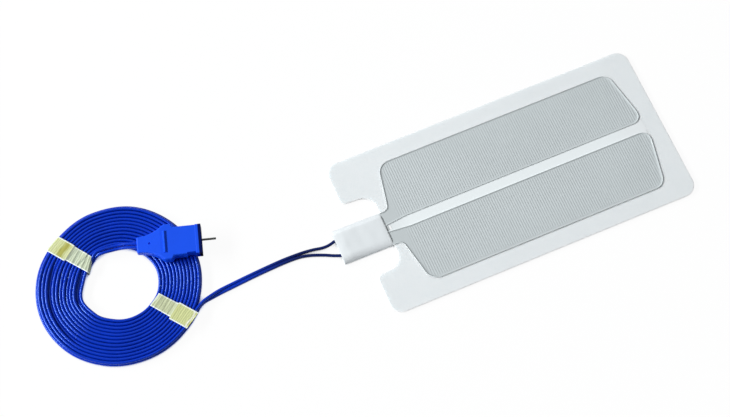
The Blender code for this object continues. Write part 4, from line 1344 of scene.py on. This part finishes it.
def tape_line(wrap, thickness):
    """The tape's middle line across the band: distance from the coil's centre, height and part."""
    half = thickness / 2
    outer = 48.2 * MM
    inner = wrap["inner"] * MM
    top = coil_high.z + 0.3 * MM
    bottom = half + 0.02 * MM
    second = top + thickness + 0.1 * MM
    overlap = wrap["double"] * MM
    bend = 0.8 * MM
    corners = [
        (overlap, top),
        (outer - bend, top),
        (outer, top - bend),
        (outer, bottom + bend),
        (outer - bend, bottom),
        (inner + bend, bottom),
        (inner, bottom + bend),
        (inner, top - bend),
        (inner + bend, top),
        (overlap - 1.6 * MM, top),
        (overlap - 0.3 * MM, second),
        (outer - 0.5 * MM, second - 0.05 * MM),
    ]
    if wrap["flap"]:
        flap = wrap["flap"] * MM
        corners += [(outer + flap * 0.45, second - 0.3 * MM), (outer + flap, second + 0.1 * MM)]
    line = []
    for index, (a, b) in enumerate(zip(corners, corners[1:])):
        start, end = Vector(a), Vector(b)
        steps = max(1, math.ceil((end - start).length / (0.32 * MM)))
        for step in range(steps):
            place = start.lerp(end, step / steps)
            line.append((place.x, place.y, index))
    line.append((*corners[-1], len(corners) - 2))
    return line


def tape_piece(name, wrap, tape):
    """A strip wound once round the band, wrinkled on top by the turns beneath it."""
    line = tape_line(wrap, tape.thickness)
    columns = 26
    vertices, layers, cuts, folds, stains_and_shadows, lengths = [], [], [], [], [], []
    turn = Matrix.Rotation(math.radians(wrap["angle"]), 3, "Z")
    seed = wrap["seed"]
    run = 0.0
    previous = Vector(line[0][:2])
    for r, z, part in line:
        place = Vector((r, z))
        run += (place - previous).length
        previous = place
        on_top = part == 0 or part >= 8
        doubled = 1.0 if part == 0 or part >= 10 else 0.0
        # How far out this place is on the band, from nought to one
        reach = min(max((r / MM - 22.0) / 25.0, 0.0), 1.0)
        # The outer end lies a little askew on the first layer and shows as a step at its edge
        width = wrap["outer_width"] if part >= 10 else wrap["inner_width"] + 0.8 * reach
        askew = wrap["askew"] if part >= 10 else 0.0
        for column in range(columns + 1):
            share = column / columns
            side = (share - 0.5) * width + wrap["offset"] + askew
            fray = 0.1 * noise.noise(Vector((run * 900.0, share * 3.0, seed)))
            edge = min(share, 1.0 - share) * width
            slant = wrap["inner_slant"] * (1.0 - reach) ** 4 + wrap["outer_slant"] * reach**4
            away = r / MM + slant * (share - 0.5)
            height = z
            fold = 0.0
            if on_top:
                turns = math.cos(math.tau * (r - 0.6 * MM) / TURN_PITCH)
                height += tape.ripple * turns * (0.5 if part >= 10 else 1.0)
                crease = noise.noise(Vector((away * 0.52 + side * 0.06, side * 0.09, seed + 3.0)))
                inner_half = ease((36.0 - away) / 5.0) * ease((away - 21.5) / 2.0)
                height += (wrap["crumple"] * inner_half + 0.08) * MM * crease
                for middle, lean, depth in wrap["folds"]:
                    near = abs(away - middle - lean * (share - 0.5))
                    dent = ease(1.0 - near / 1.1)
                    height -= 0.3 * MM * dent * depth
                    # The dent's depth also greys the paper there, a painted shade in the fold
                    fold = max(fold, dent * depth)
            if part >= 10:
                # The free end curls up a little at its edges
                height += 0.12 * MM * ease(1.0 - edge / 1.0)
            direction = turn @ Vector((away * MM, (side + fray * (1.0 if edge < 0.8 else 0.0)) * MM, 0.0))
            vertices.append((COIL_CENTRE.x + direction.x, COIL_CENTRE.y + direction.y, height))
            layers.append(doubled)
            cuts.append(1.0 - ease((edge - 0.4) / 0.3))
            tint = 0.0
            if on_top:
                for middle, half, amount in wrap["stains_and_shadows"]:
                    tint += amount * ease(1.5 - abs(away - middle + 0.5 * math.sin(share * 7.0)) / half)
            stains_and_shadows.append(tint)
            folds.append(fold)
            lengths.append((run / MM, side))
    piece = mesh_piece(name, vertices, grid_faces(len(line), columns + 1))
    mesh = piece.data
    store_values(mesh, {"layers": layers, "cut_edge": cuts, "fold": folds, "stain_and_shadow": stains_and_shadows})
    strip = mesh.uv_layers.new(name="strip")
    for loop in mesh.loops:
        strip.data[loop.index].uv = lengths[loop.vertex_index]
    shell = piece.modifiers.new("Paper", "SOLIDIFY")
    shell.thickness = tape.thickness
    shell.offset = 0.0
    applied(piece)
    return piece


# The two tapes, in millimetres and degrees: where each lies, how its ends are cut and how it creases.
# Folds are given by place, slant and depth, and stains and painted shadows by place, half width and strength.
WRAPS = {
    "rear": {
        "angle": 126.4,
        "offset": -1.57,
        "inner": 21.2,
        "inner_width": 9.5,
        "outer_width": 11.2,
        "inner_slant": -3.6,
        "outer_slant": 1.0,
        "double": 36.3,
        "flap": 0.0,
        "folds": ((26.6, 2.0, 0.8), (31.0, -1.6, 0.75), (34.0, 1.2, 0.5)),
        "stains_and_shadows": ((40.2, 1.7, 1.0), (45.6, 1.6, -0.1), (36.6, 0.9, -0.15)),
        "askew": 0.25,
        "crumple": 0.4,
        "seed": 2.0,
    },
    "front": {
        "angle": -52.5,
        "offset": 2.3,
        "inner": 22.6,
        "inner_width": 9.0,
        "outer_width": 11.6,
        "inner_slant": 0.6,
        "outer_slant": 0.9,
        "double": 37.2,
        "flap": 1.2,
        "folds": ((27.0, 0.5, 0.2), (34.2, -0.6, 0.15)),
        # The last entry is a painted shadow along the flap's outer edge
        "stains_and_shadows": ((23.2, 0.8, -0.5), (30.0, 7.0, 0.3), (47.9, 0.5, -0.9), (49.6, 0.3, 1.6)),
        "askew": -0.3,
        "crumple": 0.12,
        "seed": 7.0,
    },
}


class ELECTRODE_OT_tapes(bpy.types.Operator):
    """Wrap the two paper tapes round the band of the coil"""

    bl_idname = "electrode.tapes"
    bl_label = "Paper tapes"

    def execute(self, context):
        tape = context.scene.electrode.tape
        paper = crepe_paper(tape.paper_colour, tape.double_colour, tape.cut_colour)
        for word, wrap in WRAPS.items():
            piece = tape_piece(f"paper_tape_{word}", wrap, tape)
            finish_piece(piece, paper, "paper_tape", f"coil_tape_{word}")
        return {"FINISHED"}


def drawn_in(place):
    """A place on the plug's front end, drawn in to lie flush with the block and to lean in underneath."""
    flush, below = 9.0 * MM, 7.8 * MM
    if abs(place.y) < flush + 0.05 * MM:
        return place
    return Vector((place.x, math.copysign(flush if place.z > 0.0 else below, place.y), place.z))


def closed_face(place):
    """The contact carrier, with the back of its face plate drawn up to the housing."""
    plate_back, housing_end = 37.0 * MM, 36.73 * MM
    if -0.02 * MM < place.x - plate_back < 0.4 * MM:
        place = Vector((housing_end, place.y, place.z))
    return drawn_in(place)


def worn_housing(place):
    """The housing, with a longer slope in front of its ridge, a lower lip and its front end drawn in."""
    ridge_foot, slope_foot = 17.01 * MM, 18.0 * MM
    block_top, lip_back, lip_height = 3.3 * MM, 34.95 * MM, 0.3
    on_ridge = abs(place.y) < 6.75 * MM and place.z > block_top - 0.1 * MM
    if on_ridge and abs(place.x - ridge_foot) < 0.05 * MM:
        return Vector((slope_foot, place.y, place.z))
    if place.x > lip_back and place.z > block_top:
        place = Vector((place.x, place.y, block_top + (place.z - block_top) * lip_height))
    return drawn_in(place) if place.x > lip_back - 0.45 * MM else place


def shaped_copy(name, node, reshape):
    """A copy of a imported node, with its loose triangles merged and its places moved in the plug's frame."""
    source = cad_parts[node]
    work = bmesh.new()
    work.from_mesh(source.data)
    work.transform(source.matrix_world)
    bmesh.ops.remove_doubles(work, verts=work.verts, dist=0.001 * MM)
    to_plug = PLUG_FRAME.inverted()
    for corner in work.verts:
        corner.co = PLUG_FRAME @ reshape(to_plug @ corner.co)
    # Edges that the new shape brings to nothing go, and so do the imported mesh's own normals
    bmesh.ops.dissolve_degenerate(work, dist=0.001 * MM, edges=work.edges)
    piece = worked_piece(name, work)
    normals = piece.data.attributes.get("custom_normal")
    if normals:
        piece.data.attributes.remove(normals)
    return piece


class ELECTRODE_OT_plug(bpy.types.Operator):
    """Finish the plug's housing, its contact carrier and its pin"""

    bl_idname = "electrode.plug"
    bl_label = "Plug"

    def execute(self, context):
        plug = context.scene.electrode.plug
        blue = moulded_plastic("moulded_blue_abs", plug.plug_colour, plug.grain)
        housing = shaped_copy("moulded_housing", "plug_body", worn_housing)
        finish_piece(housing, blue, "plug_blue", "plug_body")
        navy = moulded_plastic("moulded_navy_abs", plug.face_colour, plug.grain, gloss=0.05)
        carrier = shaped_copy("rounded_carrier", "contact_carrier", closed_face)
        finish_piece(carrier, navy, "carrier_navy", "contact_carrier")
        dress_node("locating_pin", drawn_metal("turned_steel", plug.pin_colour, 0.35, 900.0))
        return {"FINISHED"}


class ELECTRODE_OT_contacts(bpy.types.Operator):
    """Finish the crimp clips, the contact sockets and the bare conductors"""

    bl_idname = "electrode.contacts"
    bl_label = "Contacts"

    def execute(self, context):
        tin = drawn_metal("tin_plate", linear("#D6D3C8"), 0.3, 600.0)
        copper = drawn_metal("bare_copper", linear("#D98E63"), 0.35, 1500.0)
        for side, word in SIDES:
            dress_node(f"crimp_clip_{word}", tin)
            dress_node(f"contact_socket_{word}", tin)
            dress_node(f"conductor_end_{word}", copper)
            dress_node(f"plug_conductor_{word}", copper)
        return {"FINISHED"}


class ELECTRODE_OT_cord(bpy.types.Operator):
    """List the pieces that ride on the twin lead: its web, its tapes and its plug"""

    bl_idname = "electrode.cord"
    bl_label = "Cord"

    def execute(self, context):
        on_cord = ["twin_lead_web", "paper_tape_rear", "paper_tape_front"]
        on_cord += ["moulded_housing", "rounded_carrier"]
        on_cord += [f"{kind}_{word}" for kind in ("contact_socket", "plug_conductor") for side, word in SIDES]
        on_cord.append("locating_pin")
        return {"FINISHED"}


STEPS = (
    ELECTRODE_OT_stage,
    ELECTRODE_OT_lead,
    ELECTRODE_OT_tapes,
    ELECTRODE_OT_foam,
    ELECTRODE_OT_gel,
    ELECTRODE_OT_sleeve,
    ELECTRODE_OT_films,
    ELECTRODE_OT_plug,
    ELECTRODE_OT_contacts,
    ELECTRODE_OT_cord,
)


class ELECTRODE_PT_panel(bpy.types.Panel):
    """Buttons for each piece of the electrode"""

    bl_idname = "ELECTRODE_PT_panel"
    bl_label = "Electrode"
    bl_space_type = "VIEW_3D"
    bl_region_type = "UI"
    bl_category = "Electrode"

    def draw(self, context):
        for step in STEPS:
            self.layout.operator(step.bl_idname)
        settings = context.scene.electrode
        for group in (settings.pad, settings.lead, settings.tape, settings.plug, settings.stage):
            box = self.layout.box()
            for name in group.__annotations__:
                box.prop(group, name)


CLASSES = (
    PadSettings,
    LeadSettings,
    TapeSettings,
    PlugSettings,
    StageSettings,
    ElectrodeSettings,
    *STEPS,
    ELECTRODE_PT_panel,
)


def register():
    for item in CLASSES:
        bpy.utils.register_class(item)
    bpy.types.Scene.electrode = bpy.props.PointerProperty(type=ElectrodeSettings)


def unregister():
    del bpy.types.Scene.electrode
    for item in reversed(CLASSES):
        bpy.utils.unregister_class(item)


def main():
    register()
    for step in STEPS:
        group, name = step.bl_idname.split(".")
        getattr(getattr(bpy.ops, group), name)()


if __name__ == "__main__":
    main()
